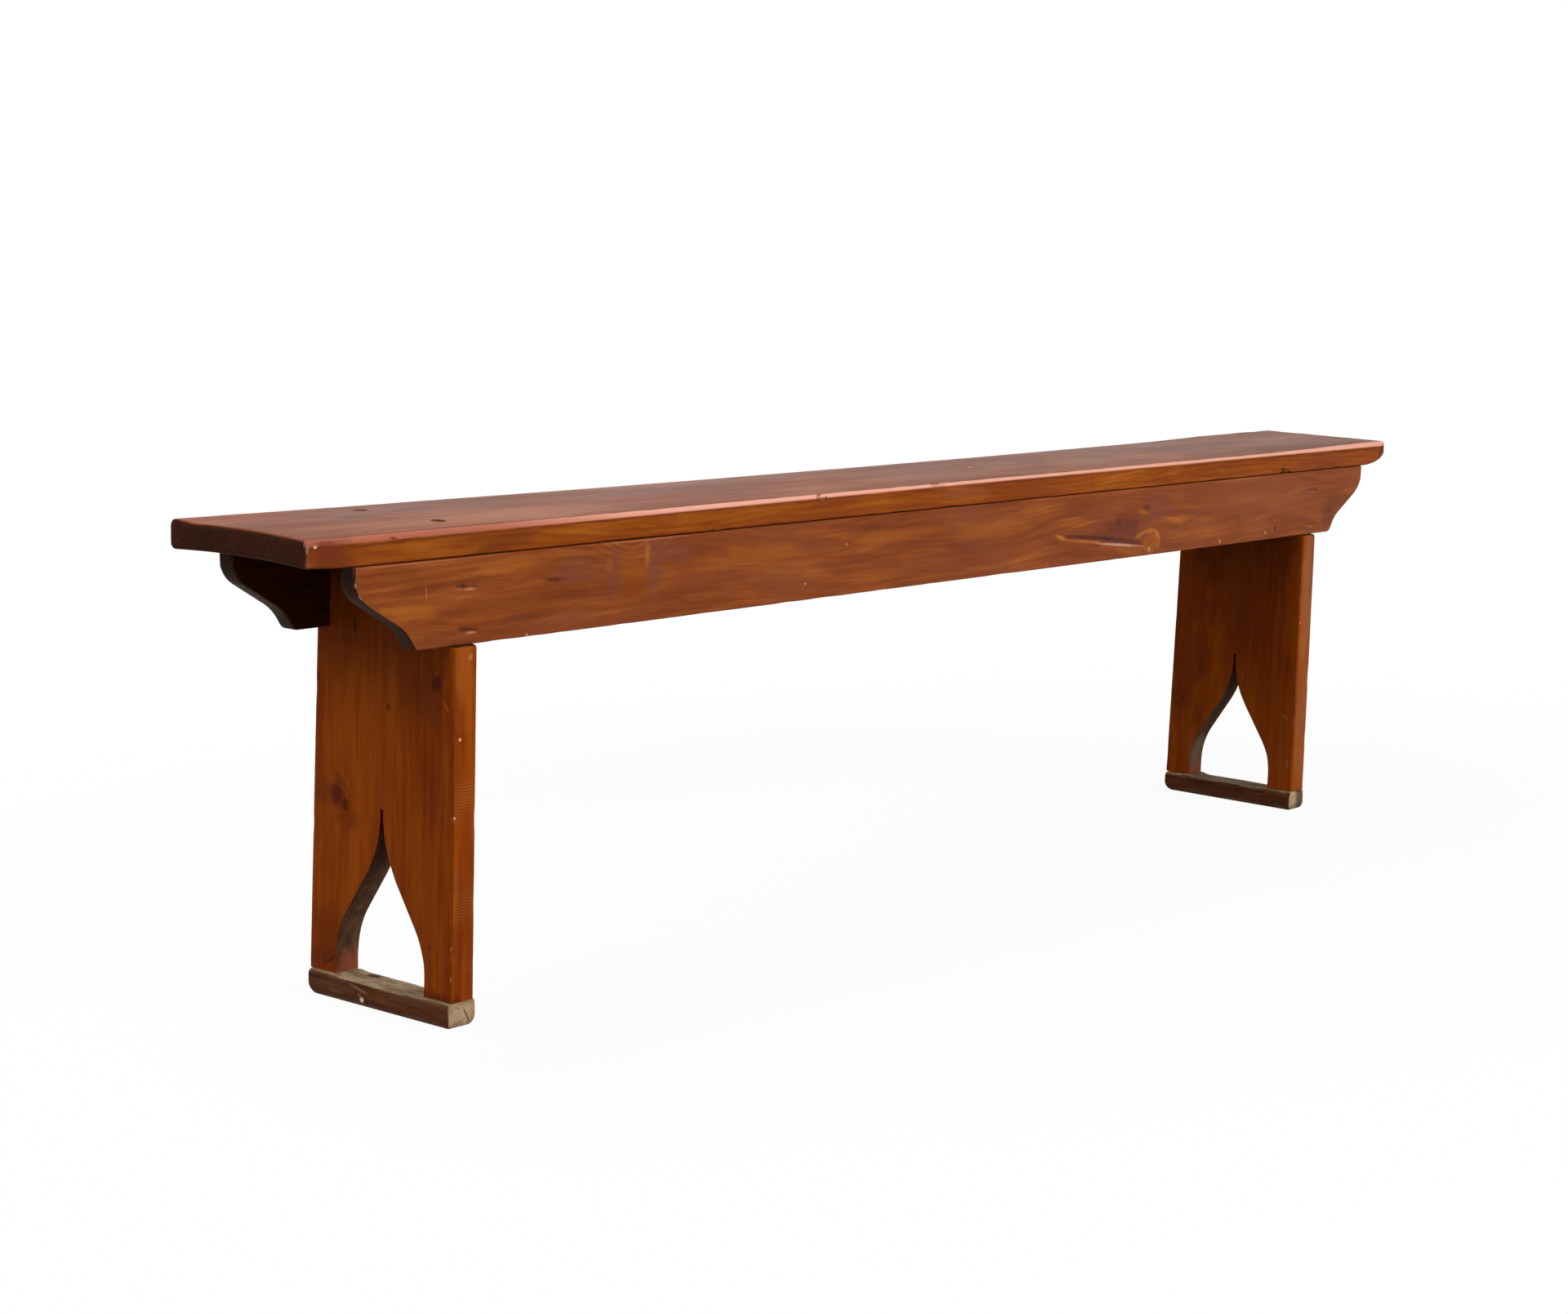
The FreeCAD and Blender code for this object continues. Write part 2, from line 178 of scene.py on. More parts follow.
def loft(rings, place, caps):
    """Vertices, faces and edge marks of a skin over rings of (s, u, v, edge), closed at the chosen ends."""
    rings = [cap_ring(rings[0])] * caps[0] + rings + [cap_ring(rings[-1])] * caps[1]
    count = len(rings[0])
    verts = [place(s, u, v) for points in rings for s, u, v, edge in points]
    marks = [edge for points in rings for s, u, v, edge in points]
    faces = []
    for r in range(len(rings) - 1):
        a, b = r * count, (r + 1) * count
        for n in range(count):
            m = (n + 1) % count
            faces.append((a + n, a + m, b + m, b + n))
    if caps[0]:
        faces.append(tuple(reversed(range(count))))
    if caps[1]:
        last = (len(rings) - 1) * count
        faces.append(tuple(range(last, last + count)))
    return verts, faces, marks


def added(name, data):
    made = bpy.data.objects.new(name, data)
    bpy.context.collection.objects.link(made)
    return made


def board(name, skins, node, material, wear, dents):
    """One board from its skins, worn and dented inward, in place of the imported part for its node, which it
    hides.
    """
    verts, faces, marks = [], [], []
    for skin_verts, skin_faces, skin_marks in skins:
        base = len(verts)
        verts += skin_verts
        marks += skin_marks
        faces += [tuple(base + i for i in face) for face in skin_faces]
    mesh = bpy.data.meshes.new(name)
    mesh.from_pydata(verts, [], faces)
    turn_outward(mesh)
    normals = [v.normal.copy() for v in mesh.vertices]
    for vertex, normal, mark in zip(mesh.vertices, normals, marks):
        place = vertex.co.copy()
        vertex.co -= normal * wear(place, mark)
        for mould in dents:
            vertex.co += mould[-1] * dent_depth(place, mould)
    edge = mesh.attributes.new("edge", "FLOAT", "POINT")
    edge.data.foreach_set("value", marks)
    mesh.shade_smooth()
    mesh.set_sharp_from_angle(angle=SHARP_ANGLE)
    piece = added(name, mesh)
    piece.location.y = SETBACK
    mesh.materials.append(material)
    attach(piece, "root")
    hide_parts(node)
    return piece


def turn_outward(mesh):
    work = bmesh.new()
    work.from_mesh(mesh)
    bmesh.ops.recalc_face_normals(work, faces=work.faces)
    work.to_mesh(mesh)
    work.free()
    mesh.update()


def dent(start, end, radius, depth, inward=(0, 1, 0)):
    """A groove between two points, given in millimetres, pressed in along one direction."""
    return Vector(start) * MM, Vector(end) * MM, radius * MM, depth * MM, Vector(inward).normalized()


def dent_depth(point, mould):
    """How deep a dent is at a point."""
    start, end, radius, depth, inward = mould
    along = end - start
    share = 0 if along.length == 0 else min(max((point - start).dot(along) / along.length_squared, 0), 1)
    distance = (point - (start + along * share)).length / radius
    return depth * (1 - distance**2) ** 2 if distance < 1 else 0


def waver(point, scale, seed):
    """Smooth noise from 0 to 1, with features about 1 / scale across."""
    return 0.5 + 0.5 * noise.noise(point * scale + Vector((seed, seed, seed)))


# Materials.


class Shader:
    """A material's node tree, built by short calls.

    A value is a number, a vector, a socket or a colour, given by three display values, 0 to 255."""

    def __init__(self, name):
        self.material = bpy.data.materials.new(name)
        self.material.use_nodes = True
        self.tree = self.material.node_tree
        self.tree.nodes.clear()
        self.surface = self.tree.nodes.new("ShaderNodeBsdfPrincipled")
        output = self.tree.nodes.new("ShaderNodeOutputMaterial")
        self.tree.links.new(self.surface.outputs[0], output.inputs["Surface"])

    def set(self, socket, value):
        if isinstance(value, bpy.types.NodeSocket):
            self.tree.links.new(value, socket)
        elif socket.type == "RGBA" and len(value) == 3:
            socket.default_value = rgb(*value)
        else:
            socket.default_value = value

    def node(self, kind, **settings):
        made = self.tree.nodes.new(kind)
        for name, value in settings.items():
            setattr(made, name, value)
        return made

    def math(self, operation, a, b=0.0):
        made = self.node("ShaderNodeMath", operation=operation)
        self.set(made.inputs[0], a)
        self.set(made.inputs[1], b)
        return made.outputs[0]

    def add(self, a, b):
        return self.math("ADD", a, b)

    def sub(self, a, b):
        return self.math("SUBTRACT", a, b)

    def mul(self, a, b):
        return self.math("MULTIPLY", a, b)

    def top(self, a, b):
        return self.math("MAXIMUM", a, b)

    def size(self, a):
        return self.math("ABSOLUTE", a)

    def swing(self, value, amount):
        """A noise value as a swing about zero."""
        return self.mul(self.sub(value, 0.5), amount)

    def step(self, value, low, high):
        """Smooth step of value: 0 at low and 1 at high, which may be the smaller one."""
        made = self.node("ShaderNodeMapRange", interpolation_type="SMOOTHSTEP")
        turned = low > high
        values = (value, min(low, high), max(low, high), float(turned), float(not turned))
        for socket, item in zip(made.inputs, values):
            self.set(socket, item)
        return made.outputs[0]

    def join(self, x, y, z):
        made = self.node("ShaderNodeCombineXYZ")
        for socket, value in zip(made.inputs, (x, y, z)):
            self.set(socket, value)
        return made.outputs[0]

    def split(self, vector):
        made = self.node("ShaderNodeSeparateXYZ")
        self.set(made.inputs[0], vector)
        return list(made.outputs)

    def vector(self, operation, a, b):
        made = self.node("ShaderNodeVectorMath", operation=operation)
        self.set(made.inputs[0], a)
        self.set(made.inputs["Scale" if operation == "SCALE" else 1], b)
        return made.outputs["Value" if operation in ("DISTANCE", "DOT_PRODUCT") else "Vector"]

    def length(self, vector):
        return self.vector("DISTANCE", vector, (0.0, 0.0, 0.0))

    def noise(self, vector, scale, detail=2.0, roughness=0.5):
        made = self.node("ShaderNodeTexNoise")
        self.set(made.inputs["Vector"], vector)
        self.set(made.inputs["Scale"], scale)
        self.set(made.inputs["Detail"], detail)
        self.set(made.inputs["Roughness"], roughness)
        return made.outputs["Fac"]

    def mix(self, share, a, b):
        made = self.node("ShaderNodeMix", data_type="RGBA")
        self.set(made.inputs[0], share)
        self.set(made.inputs[6], a)
        self.set(made.inputs[7], b)
        return made.outputs[2]

    def ramp(self, value, stops):
        made = self.node("ShaderNodeValToRGB")
        elements = made.color_ramp.elements
        while len(elements) < len(stops):
            elements.new(0.5)
        for element, (place, colour) in zip(elements, stops):
            element.position = place
            element.color = rgb(*colour)
        self.set(made.inputs[0], value)
        return made.outputs["Color"]

    def from_middle(self, place, start, end, radius):
        """0 in the middle of a spindle between two points in millimetres, and 1 at its outline."""
        start, end = Vector(start) * MM, Vector(end) * MM
        off = self.vector("SUBTRACT", place, (start + end) / 2)
        run = end - start
        if run.length > 0:
            # Along the run a spindle is longer than it is wide, so offsets along it count for less.
            part = self.vector("DOT_PRODUCT", off, run.normalized())
            excess = self.mul(part, 1 - 2 * radius * MM / run.length)
            off = self.vector("SUBTRACT", off, self.vector("SCALE", run.normalized(), excess))
        return self.math("DIVIDE", self.length(off), radius * MM)

    def bump(self, height):
        made = self.node("ShaderNodeBump")
        made.inputs["Distance"].default_value = 1.0
        self.set(made.inputs["Height"], height)
        self.tree.links.new(made.outputs[0], self.surface.inputs["Normal"])


def rgb(red, green, blue):
    """A colour from its display values, 0 to 255, as the linear one that Blender wants."""
    def linear(value):
        share = value / 255
        return share / 12.92 if share <= 0.04045 else ((share + 0.055) / 1.055) ** 2.4
    return linear(red), linear(green), linear(blue), 1.0


# Where the five colours of a stain stand in its ramp.
STAIN_PLACES = (0.2, 0.38, 0.52, 0.68, 0.9)

# Where a wash and a mark start to show and where they are full, as shares of their size.
WASH_FADE = (1.25, 0.3)
MARK_FADE = (1.25, 0.45)


def figure(s, look, along, across, through, ragged):
    """The log's rings on a board: latewood, how strongly a swirl shows, and the knots, each 0 to 1."""
    pith_across, pith_through = look["pith"]
    flat = s.join(0.0, s.sub(across, pith_across), s.sub(through, pith_through))
    radius = s.length(flat)
    stretched = s.join(s.mul(along, look["stretch"]), across, through)
    radius = s.add(radius, s.mul(s.noise(stretched, look["wave_scale"], 3.0, 0.45), look["wave"]))
    knots, near = 0.0, 0.0
    for knot_along, knot_across, size, swirl in look["knots"]:
        off = s.join(s.mul(s.sub(along, knot_along), 0.75), s.sub(across, knot_across), 0.0)
        distance = s.math("DIVIDE", s.length(off), size)
        push = s.math("EXPONENT", s.mul(s.math("POWER", distance, 2.0), -0.16))
        radius = s.add(radius, s.mul(push, look["swell"] * size))
        knots = s.top(knots, s.step(s.add(distance, ragged), 1.4, 0.6))
        near = s.top(near, s.mul(push, swirl))
    turns = s.add(s.math("DIVIDE", radius, look["ring"]), s.swing(s.noise(stretched, 34.0), 0.9))
    part = s.math("FRACT", turns)
    late = s.mul(s.step(part, 0.1, 0.75), s.step(part, 1.0, 0.75))
    return late, near, knots


def pine(name, look):
    """Stained and varnished pine that is one solid texture, so that rings meet round every arris.

    look["axes"] are the axes along the grain, across it and through the board, look["pith"] is the log's
    centre on the last two, and look["knots"], ["washes"] and ["marks"] place figures by their positions."""
    s = Shader(name)
    here = s.node("ShaderNodeTexCoord").outputs
    place = here["Object"]
    parts, facing = s.split(place), s.split(here["Normal"])
    axes = look["axes"]
    along, across, through = (parts[i] for i in axes)

    def pulled(side, share, scale, detail=2.0, roughness=0.5):
        """Noise that is drawn out along the grain: the smaller the share, the longer."""
        return s.noise(s.join(s.mul(along, share), side, through), scale, detail, roughness)

    ragged = s.swing(s.noise(place, 170.0), 0.9)
    late, near, knots = figure(s, look, along, across, through, ragged)

    # The grain drifts across the board, so streaks are never quite parallel.
    drift = s.swing(pulled(across, 0.3, 9.0), look["drift"])
    slant = s.add(across, drift)
    fibre = pulled(slant, 0.02, 800.0, 2.0, 0.6)
    streak = pulled(slant, look["pull"], look["fineness"], 4.0, 0.62)
    mottle = pulled(slant, 0.18, 42.0, 3.0, 0.55)
    cloud = pulled(slant, 0.5, 8.0)
    tone = s.add(s.swing(streak, look["streaks"]), s.swing(mottle, look["mottles"]))
    tone = s.add(tone, s.add(s.swing(cloud, look["clouds"]), s.swing(fibre, look["fibres"])))
    tone = s.add(tone, s.mul(s.sub(late, 0.4), s.add(near, look["late"])))
    colour = s.ramp(s.add(tone, 0.5), list(zip(STAIN_PLACES, look["stain"])))
    patch = pulled(slant, 0.32, 17.0, 3.0, 0.55)
    colour = s.mix(s.mul(s.step(patch, 0.46, 0.68), look["haze"]), colour, look["haze_colour"])
    colour = s.mix(s.mul(knots, 0.8), colour, look["knot_colour"])
    grained = s.add(1.0, s.add(s.swing(fibre, look["fine"]), s.swing(streak, look["fine"])))
    colour = s.vector("SCALE", colour, grained)

    # Faces that turn in between the rails and faces that turn down are painted dark, as painted shade.
    side, sign = look["hidden"]
    painted_shade = s.step(s.mul(facing[side], sign), 0.5, 0.85)
    colour = s.mix(s.mul(painted_shade, 0.85), colour, look["painted_shade"])

    # End grain drinks the stain.
    end = s.step(s.size(facing[axes[0]]), *look["end_from"])
    pores = pulled(across, 0.3, 620.0, 3.0, 0.7)
    end_tone = s.add(s.mul(late, look["end_rings"]), s.add(s.mul(pores, 0.5), s.swing(mottle, 0.5)))
    colour = s.mix(end, colour, s.ramp(end_tone, look["end"]))

    # Worn arrises, broken up by noise.
    edge = s.node("ShaderNodeAttribute", attribute_name="edge").outputs["Fac"]
    chafe = pulled(across, 0.25, 110.0, 4.0, 0.65)
    worn = s.mul(edge, s.step(chafe, *look["chafe"]))
    colour = s.mix(s.mul(worn, look["worn"]), colour, look["worn_colour"])

    height = s.add(s.mul(fibre, 0.03 * MM), s.mul(late, look["relief"] * MM))
    height = s.add(height, s.mul(streak, 0.08 * MM))
    height = s.sub(height, s.mul(s.mul(end, pores), 0.14 * MM))
    rough = s.add(s.swing(patch, 0.2), look["roughness"])
    rough = s.add(rough, s.mul(s.top(worn, end), 0.2))
    if "extra" in look:
        colour, rough, height = look["extra"](s, parts, facing, colour, rough, height)

    frayed = s.swing(pulled(across, 0.5, 60.0, 3.0, 0.6), 1.6)
    for centre, half, share, wash_colour in look["washes"]:
        off = s.vector("SUBTRACT", place, Vector(centre) * MM)
        off = s.vector("MULTIPLY", off, [1 / (h * MM) for h in half])
        distance = s.add(s.length(off), frayed)
        colour = s.mix(s.mul(s.step(distance, *WASH_FADE), share), colour, wash_colour)
    for start, finish, size, mark_colour, share in look["marks"]:
        distance = s.add(s.from_middle(place, start, finish, size), s.mul(ragged, 0.7))
        colour = s.mix(s.mul(s.step(distance, *MARK_FADE), share), colour, mark_colour)

    s.set(s.surface.inputs["Base Color"], colour)
    s.set(s.surface.inputs["Roughness"], rough)
    s.surface.inputs["Specular IOR Level"].default_value = look["gloss"]
    s.bump(height)
    return s.material


# Colours that several marks share.
DARK_MARK = (62, 26, 15)
PALE_MARK = (218, 164, 116)
FLECK = (92, 40, 20)
LIP = (190, 118, 78)


def line(start, end, radius, colour, share=0.9):
    """A spindle-shaped mark between two points in millimetres."""
    return start, end, radius, colour, share


def spot(point, radius, colour, share=0.9):
    return line(point, point, radius, colour, share)


def placed(axis, level, *others):
    """A point from its place on one axis and its places on the two others."""
    return (*others[:axis], level, *others[axis:])


def washes_on(axis, level, depth, rows):
    """Washes on one face, from rows of middle, half size, share and colour."""
    return [(placed(axis, level, a, b), placed(axis, depth, half_a, half_b), share, colour)
            for a, b, half_a, half_b, share, colour in rows]


def lines_on(axis, level, rows):
    """Lines on one face, from rows of start, end, radius, colour and at times share."""
    return [line(placed(axis, level, a, b), placed(axis, level, c, d), *rest) for a, b, c, d, *rest in rows]


RAIL_LOOK = {
    "axes": (0, 2, 1), "pith": (0.378, -0.03), "stretch": 0.16, "wave_scale": 11.0, "wave": 0.05,
    "ring": 0.0066, "swell": 2.2, "late": 0.09, "drift": 0.06, "pull": 0.06, "fineness": 185.0,
    "streaks": 0.76, "mottles": 0.46, "clouds": 0.28, "fibres": 0.28, "fine": 0.26,
    "stain": [(174, 102, 42), (152, 80, 33), (134, 66, 26), (118, 55, 22), (88, 38, 17)],
    "haze": 0.55, "haze_colour": (131, 69, 44), "knot_colour": (80, 34, 18),
    # The second pair below gives the faces that turn in or down, and the dark colour painted on them as
    # shade.
    "hidden": (1, 1.0), "painted_shade": (16, 6, 3),
    "end": [(0.2, (60, 36, 21)), (0.7, (30, 16, 9))], "end_rings": 0.12, "end_from": (0.3, 0.5),
    "chafe": (0.55, 0.75), "worn": 0.35, "worn_colour": (138, 76, 42),
    "roughness": 0.42, "gloss": 0.06, "relief": 0.03, "knots": [], "washes": [], "marks": [],
}


def rail_nail_marks(y, places):
    """Over each punched nail a dark spindle along the grain, with a pale lip under its right half that is a
    painted highlight.
    """
    marks = []
    for x, z in places:
        share = 0.9 if x < 0 else 0.4
        marks.append(line((x - 15, y, z + 1.5), (x + 13, y, z - 0.5), 2.4, DARK_MARK, share))
        marks.append(line((x - 3, y, z - 1.8), (x + 11, y, z - 2.4), 1.6, LIP, share))
    return marks


AMBER = (176, 100, 34)
MAUVE = (122, 68, 52)
UMBER = (92, 46, 30)
GOLD = (192, 118, 46)
BLUSH = (196, 146, 120)

# In millimetres, the front rail's face and the bottom of the scar in it.
FRONT = -86.5
SCAR = -85.2

front_rail_look = dict(RAIL_LOOK, knots=[
    (-0.515, 0.432, 0.011, 0.2), (0.380, 0.358, 0.0055, 0.15), (0.311, 0.387, 0.004, 0.1),
    (0.370, 0.4015, 0.003, 0.05),
])
front_rail_look["washes"] = washes_on(1, FRONT, 9, [
    (-538, 398, 13, 34, 0.5, MAUVE), (-484, 402, 15, 34, 0.6, MAUVE),
    (-514, 397, 22, 30, 0.55, (152, 80, 20)), (-514, 377, 20, 9, 0.6, (128, 56, 8)),
    (-494, 410, 5, 13, 0.42, GOLD), (-546, 402, 6, 7, 0.2, GOLD), (-452, 408, 30, 12, 0.5, MAUVE),
    (-590, 400, 30, 15, 0.55, MAUVE), (-600, 357, 46, 9, 0.45, MAUVE), (-800, 380, 36, 10, 0.55, AMBER),
    (-672, 412, 50, 8, 0.4, AMBER), (-690, 374, 70, 9, 0.4, (146, 74, 22)), (-330, 396, 80, 12, 0.4, AMBER),
    (-400, 372, 90, 14, 0.4, (122, 58, 32)), (-120, 402, 70, 8, 0.4, AMBER),
    (-60, 366, 120, 10, 0.4, (118, 56, 34)), (60, 395, 80, 10, 0.4, AMBER), (212, 393, 52, 5, 0.35, AMBER),
    (322, 380, 52, 16, 0.7, (96, 44, 34)), (240, 358, 90, 8, 0.5, (112, 48, 28)),
    (395, 396, 30, 22, 0.55, MAUVE), (382, 359, 20, 13, 0.7, (160, 88, 30)), (432, 383, 36, 5, 0.5, AMBER),
    (640, 392, 130, 24, 0.4, (140, 78, 50)), (815, 372, 34, 22, 0.4, UMBER),
    (786, 366, 16, 14, 0.35, DARK_MARK),
])
front_rail_look["marks"] = rail_nail_marks(FRONT, [(-733, 397), (-731, 358), (744, 400), (742, 357)])
front_rail_look["marks"] += lines_on(1, FRONT, [
    # The rail's upper arris is pale in places, partly worn and partly a painted highlight.
    (-862, 422.4, -720, 422.4, 1.0, LIP, 0.55), (-566, 422.4, -420, 422.4, 1.0, LIP, 0.6),
    (500, 422.2, 640, 422.2, 1.0, LIP, 0.35),
    # Smudges of stain near the left end.
    (-640, 397, -602, 393.5, 2.6, (100, 46, 24), 0.6), (-632, 395, -612, 394, 1.7, FLECK),
    (-783, 402, -781, 387, 0.7, LIP, 0.7),
])
front_rail_look["marks"] += lines_on(1, SCAR, [
    # The long scar, dark inside as painted shade, and its pale lower lip, a painted highlight.
    (198, 379.5, 322, 367, 3.0, (84, 36, 20)), (262, 374, 366, 359, 4.6, (92, 44, 40), 0.75),
    (206, 374, 300, 364, 1.8, AMBER, 0.7), (262, 367, 374, 355.5, 2.0, BLUSH),
])
front_rail_look["marks"] += lines_on(1, FRONT, [
    # The golden curl that the scar starts from, and golden streaks near it.
    (184, 381, 214, 373, 2.6, GOLD, 0.8), (206, 386, 276, 393, 1.6, GOLD, 0.3),
    (176, 396, 246, 399, 1.3, GOLD, 0.3), (404, 388, 452, 379, 2.0, GOLD, 0.4),
    (410, 361, 470, 364, 1.8, AMBER, 0.4), (350, 398, 374, 394, 2.6, AMBER, 0.5),
    # The golden figure at the scar's right end, and three pale spots.
    (346, 367, 370, 373.5, 2.8, GOLD, 0.5), (366, 373.5, 392, 373.5, 3.2, GOLD, 0.55),
    (388, 374, 400, 362, 3.6, GOLD, 0.6), (400, 365, 395, 351, 3.2, AMBER, 0.6),
    (377, 355, 379, 349, 2.6, BLUSH, 0.7), (-655, 346.5, -655, 346.5, 2.3, (200, 150, 116), 0.8),
    (-190, 397, -190, 397, 1.3, PALE_MARK, 0.7), (-257, 362.5, -253, 361.5, 1.1, PALE_MARK, 0.7),
    # Pale along the left ogee's front arris, partly wear and partly a painted highlight.
    (-867.5, 411, -866, 405, 1.4, (206, 150, 120), 0.75), (-864, 400, -858, 394, 1.6, (214, 160, 130), 0.8),
    (-852, 390.5, -818, 371.5, 1.1, (150, 104, 74), 0.55),
    (-814, 368, -797, 349, 1.2, (150, 104, 74), 0.55), (-846, 385, -800, 381, 3.4, AMBER, 0.5),
    # Worn spots and a crack at the lower arris.
    (533, 350.5, 533, 350.5, 2.6, (192, 128, 58)), (637, 354, 637, 354, 2.3, (188, 126, 66)),
    (660, 354, 661.5, 362, 2.2, DARK_MARK),
])
back_rail_look = dict(
    RAIL_LOOK, pith=(0.395, 0.03), hidden=(1, -1.0), end=[(0.2, (60, 42, 26)), (0.7, (30, 18, 11))],
    knots=[(-0.33, 0.372, 0.008, 0.3), (0.205, 0.405, 0.006, 0.2), (0.61, 0.383, 0.010, 0.3)],
)
back_rail_look["washes"] = washes_on(1, 86.5, 9, [
    (-420, 390, 90, 16, 0.5, AMBER), (330, 372, 110, 14, 0.5, MAUVE), (-700, 402, 60, 12, 0.4, UMBER),
])
back_rail_look["marks"] = rail_nail_marks(86.5, [(-738, 398), (-741, 359), (741, 397), (738, 358)])


def seat_extra(s, parts, facing, colour, rough, height):
    """A brown, cloudy top, a front arris painted pale along the whole bench, as wear and as a painted
    highlight, and sawn end grain.
    """
    x, y, z = parts
    upward = s.step(facing[2], 0.6, 0.97)
    smear = s.noise(s.join(s.mul(x, 0.24), y, z), 12.0, 3.0, 0.55)
    grain = s.noise(s.join(s.mul(x, 0.04), y, z), 190.0, 4.0, 0.62)
    clouded = s.ramp(s.add(smear, s.swing(grain, 0.8)), [
        (0.3, (92, 48, 31)), (0.5, (122, 69, 46)), (0.7, (152, 95, 66)),
    ])
    colour = s.mix(s.mul(upward, 0.8), colour, clouded)
    rough = s.sub(rough, s.mul(upward, 0.04))

    # The pale band along the front arris is partly wear and partly a painted highlight, paler towards the
    # right. It is wider at the left end, with a dark line above it there and one below it all along.
    narrow = s.mul(s.step(x, -0.9, 0.1), 2.0 * MM)
    near = s.mul(s.step(y, -0.0822, -0.0842), s.step(s.sub(z, narrow), 0.4442, 0.446))
    rubbed_and_highlight = s.mul(near, s.step(s.noise(s.join(s.mul(x, 0.2), y, z), 90.0, 3.0, 0.6), 0.12, 0.34))
    pink = s.mix(s.step(x, -0.74, -0.42), (180, 106, 86), (240, 176, 156))
    behind = s.mul(s.step(y, -0.0795, -0.081), s.step(y, -0.0832, -0.0818))
    behind = s.mul(behind, s.mul(upward, s.step(x, -0.25, -0.55)))
    ripple = s.swing(s.noise(s.join(s.mul(x, 0.5), y, z), 60.0, 2.0), 0.006)
    level = s.add(s.sub(z, narrow), ripple)
    under = s.mul(s.step(level, 0.441, 0.4432), s.step(level, 0.4455, 0.4435))
    under = s.mul(under, s.step(y, -0.0855, -0.0868))
    colour = s.mix(s.mul(s.top(under, behind), 0.5), colour, (84, 38, 20))
    colour = s.mix(s.mul(rubbed_and_highlight, 0.9), colour, pink)

    end = s.step(s.size(facing[0]), 0.7, 0.9)
    wobble = s.swing(s.noise(s.join(x, y, z), 40.0), 5.0)
    saw = s.math("SINE", s.add(s.mul(s.add(y, z), 2 * math.pi / (5.2 * MM)), wobble))
    broken = s.noise(s.join(x, y, z), 150.0, 4.0, 0.7)
    sawn = s.mul(end, s.step(s.add(saw, s.swing(broken, 9.0)), 0.2, 1.5))
    colour = s.mix(s.mul(sawn, 0.34), colour, (92, 58, 45))
    return colour, s.sub(rough, s.mul(rubbed_and_highlight, 0.1)), s.add(height, s.mul(s.mul(end, saw), 0.05 * MM))


SEAT_LOOK = dict(
    RAIL_LOOK, axes=(0, 1, 2), pith=(0.012, 0.375), ring=0.0042, late=0.1, clouds=0.3, extra=seat_extra,
    stain=[(182, 106, 32), (162, 86, 25), (145, 71, 20), (126, 57, 17), (94, 40, 14)],
    haze_colour=(134, 65, 28), hidden=(2, -1.0),
    end=[(0.25, (60, 32, 24)), (0.7, (34, 16, 11))], end_rings=0.06, end_from=(0.6, 0.85),
    chafe=(0.66, 0.86), worn=0.35, worn_colour=(140, 80, 54), gloss=0.022,
)
SEAT_LOOK["knots"] = [
    (-0.765, 0.016, 0.0025, 0.1), (0.31, -0.035, 0.005, 0.15), (-0.21, 0.045, 0.004, 0.1),
    (0.66, 0.03, 0.004, 0.1),
]
SEAT_LOOK["washes"] = washes_on(2, 453, 9, [
    # The first wash darkens the top near the right end: painted shade.
    (560, 10, 190, 40, 0.35, (84, 40, 26)), (-360, 20, 200, 30, 0.3, (96, 50, 34)),
    (150, 40, 220, 22, 0.3, (104, 56, 38)), (-620, -40, 150, 22, 0.3, (160, 106, 74)),
]) + washes_on(1, -87.5, 9, [
    (150, 436, 60, 8, 0.2, (116, 56, 30)), (-690, 436, 60, 9, 0.5, (104, 48, 22)),
    (780, 436, 90, 9, 0.4, (118, 60, 40)), (400, 432, 120, 6, 0.25, (120, 54, 16)),
    (-900, 436, 32, 18, 0.8, (110, 47, 28)), (-380, 440, 130, 5, 0.4, (166, 92, 30)),
    (20, 438, 46, 9, 0.4, (150, 90, 60)),
])
SEAT_LOOK["marks"] = [
    # Smudges along the grain on the left part, and a pale nick in the middle.
    line((-830, 30, 452.4), (-798, 25, 452.5), 5.0, (72, 34, 22), 0.6),
    line((-806, 9, 452.8), (-770, 4, 452.8), 6.0, (66, 30, 19), 0.65),
    line((-778, -14, 452.8), (-752, -19, 452.7), 4.4, (72, 34, 22), 0.55),
    line((124, -16, 452.8), (129, -2, 452.9), 2.2, PALE_MARK, 0.8),
    # The worn left front corner, and the stain on the broken right one.
    line((-922.5, -87, 449), (-922.5, -87, 438), 1.8, (176, 126, 104), 0.8),
    line((-922.5, -87, 437), (-922.5, -87, 424), 2.0, (140, 88, 66), 0.7),
    line((-916, -88, 444.3), (-911.5, -88, 444.8), 1.5, (240, 214, 192), 0.9),
    line((905, -87.5, 434), (925, -84, 450), 5.0, (92, 52, 38)),
    # Chips in the front arris and the crack under it.
    line((-242, -86, 450.5), (-232, -88, 440), 2.8, (98, 46, 28)),
    line((-224, -86.5, 449.5), (-231, -88, 441), 2.0, (112, 56, 36)),
    line((-233, -85.5, 450), (-228, -85.5, 449.5), 2.2, (250, 206, 188)),
    line((-50, -86.5, 449), (-26, -86.5, 448), 2.4, (116, 62, 44)),
    spot((-37, -86, 450), 2.4, (246, 204, 188)),
    line((-828, -87, 447), (-818, -87, 446), 1.8, (112, 54, 36)),
    line((661, -87.5, 431.5), (692, -87.5, 425), 1.6, DARK_MARK), spot((680, -87.5, 425), 3.4, LIP),
    spot((-404, -87.5, 425.5), 2.6, LIP),
]


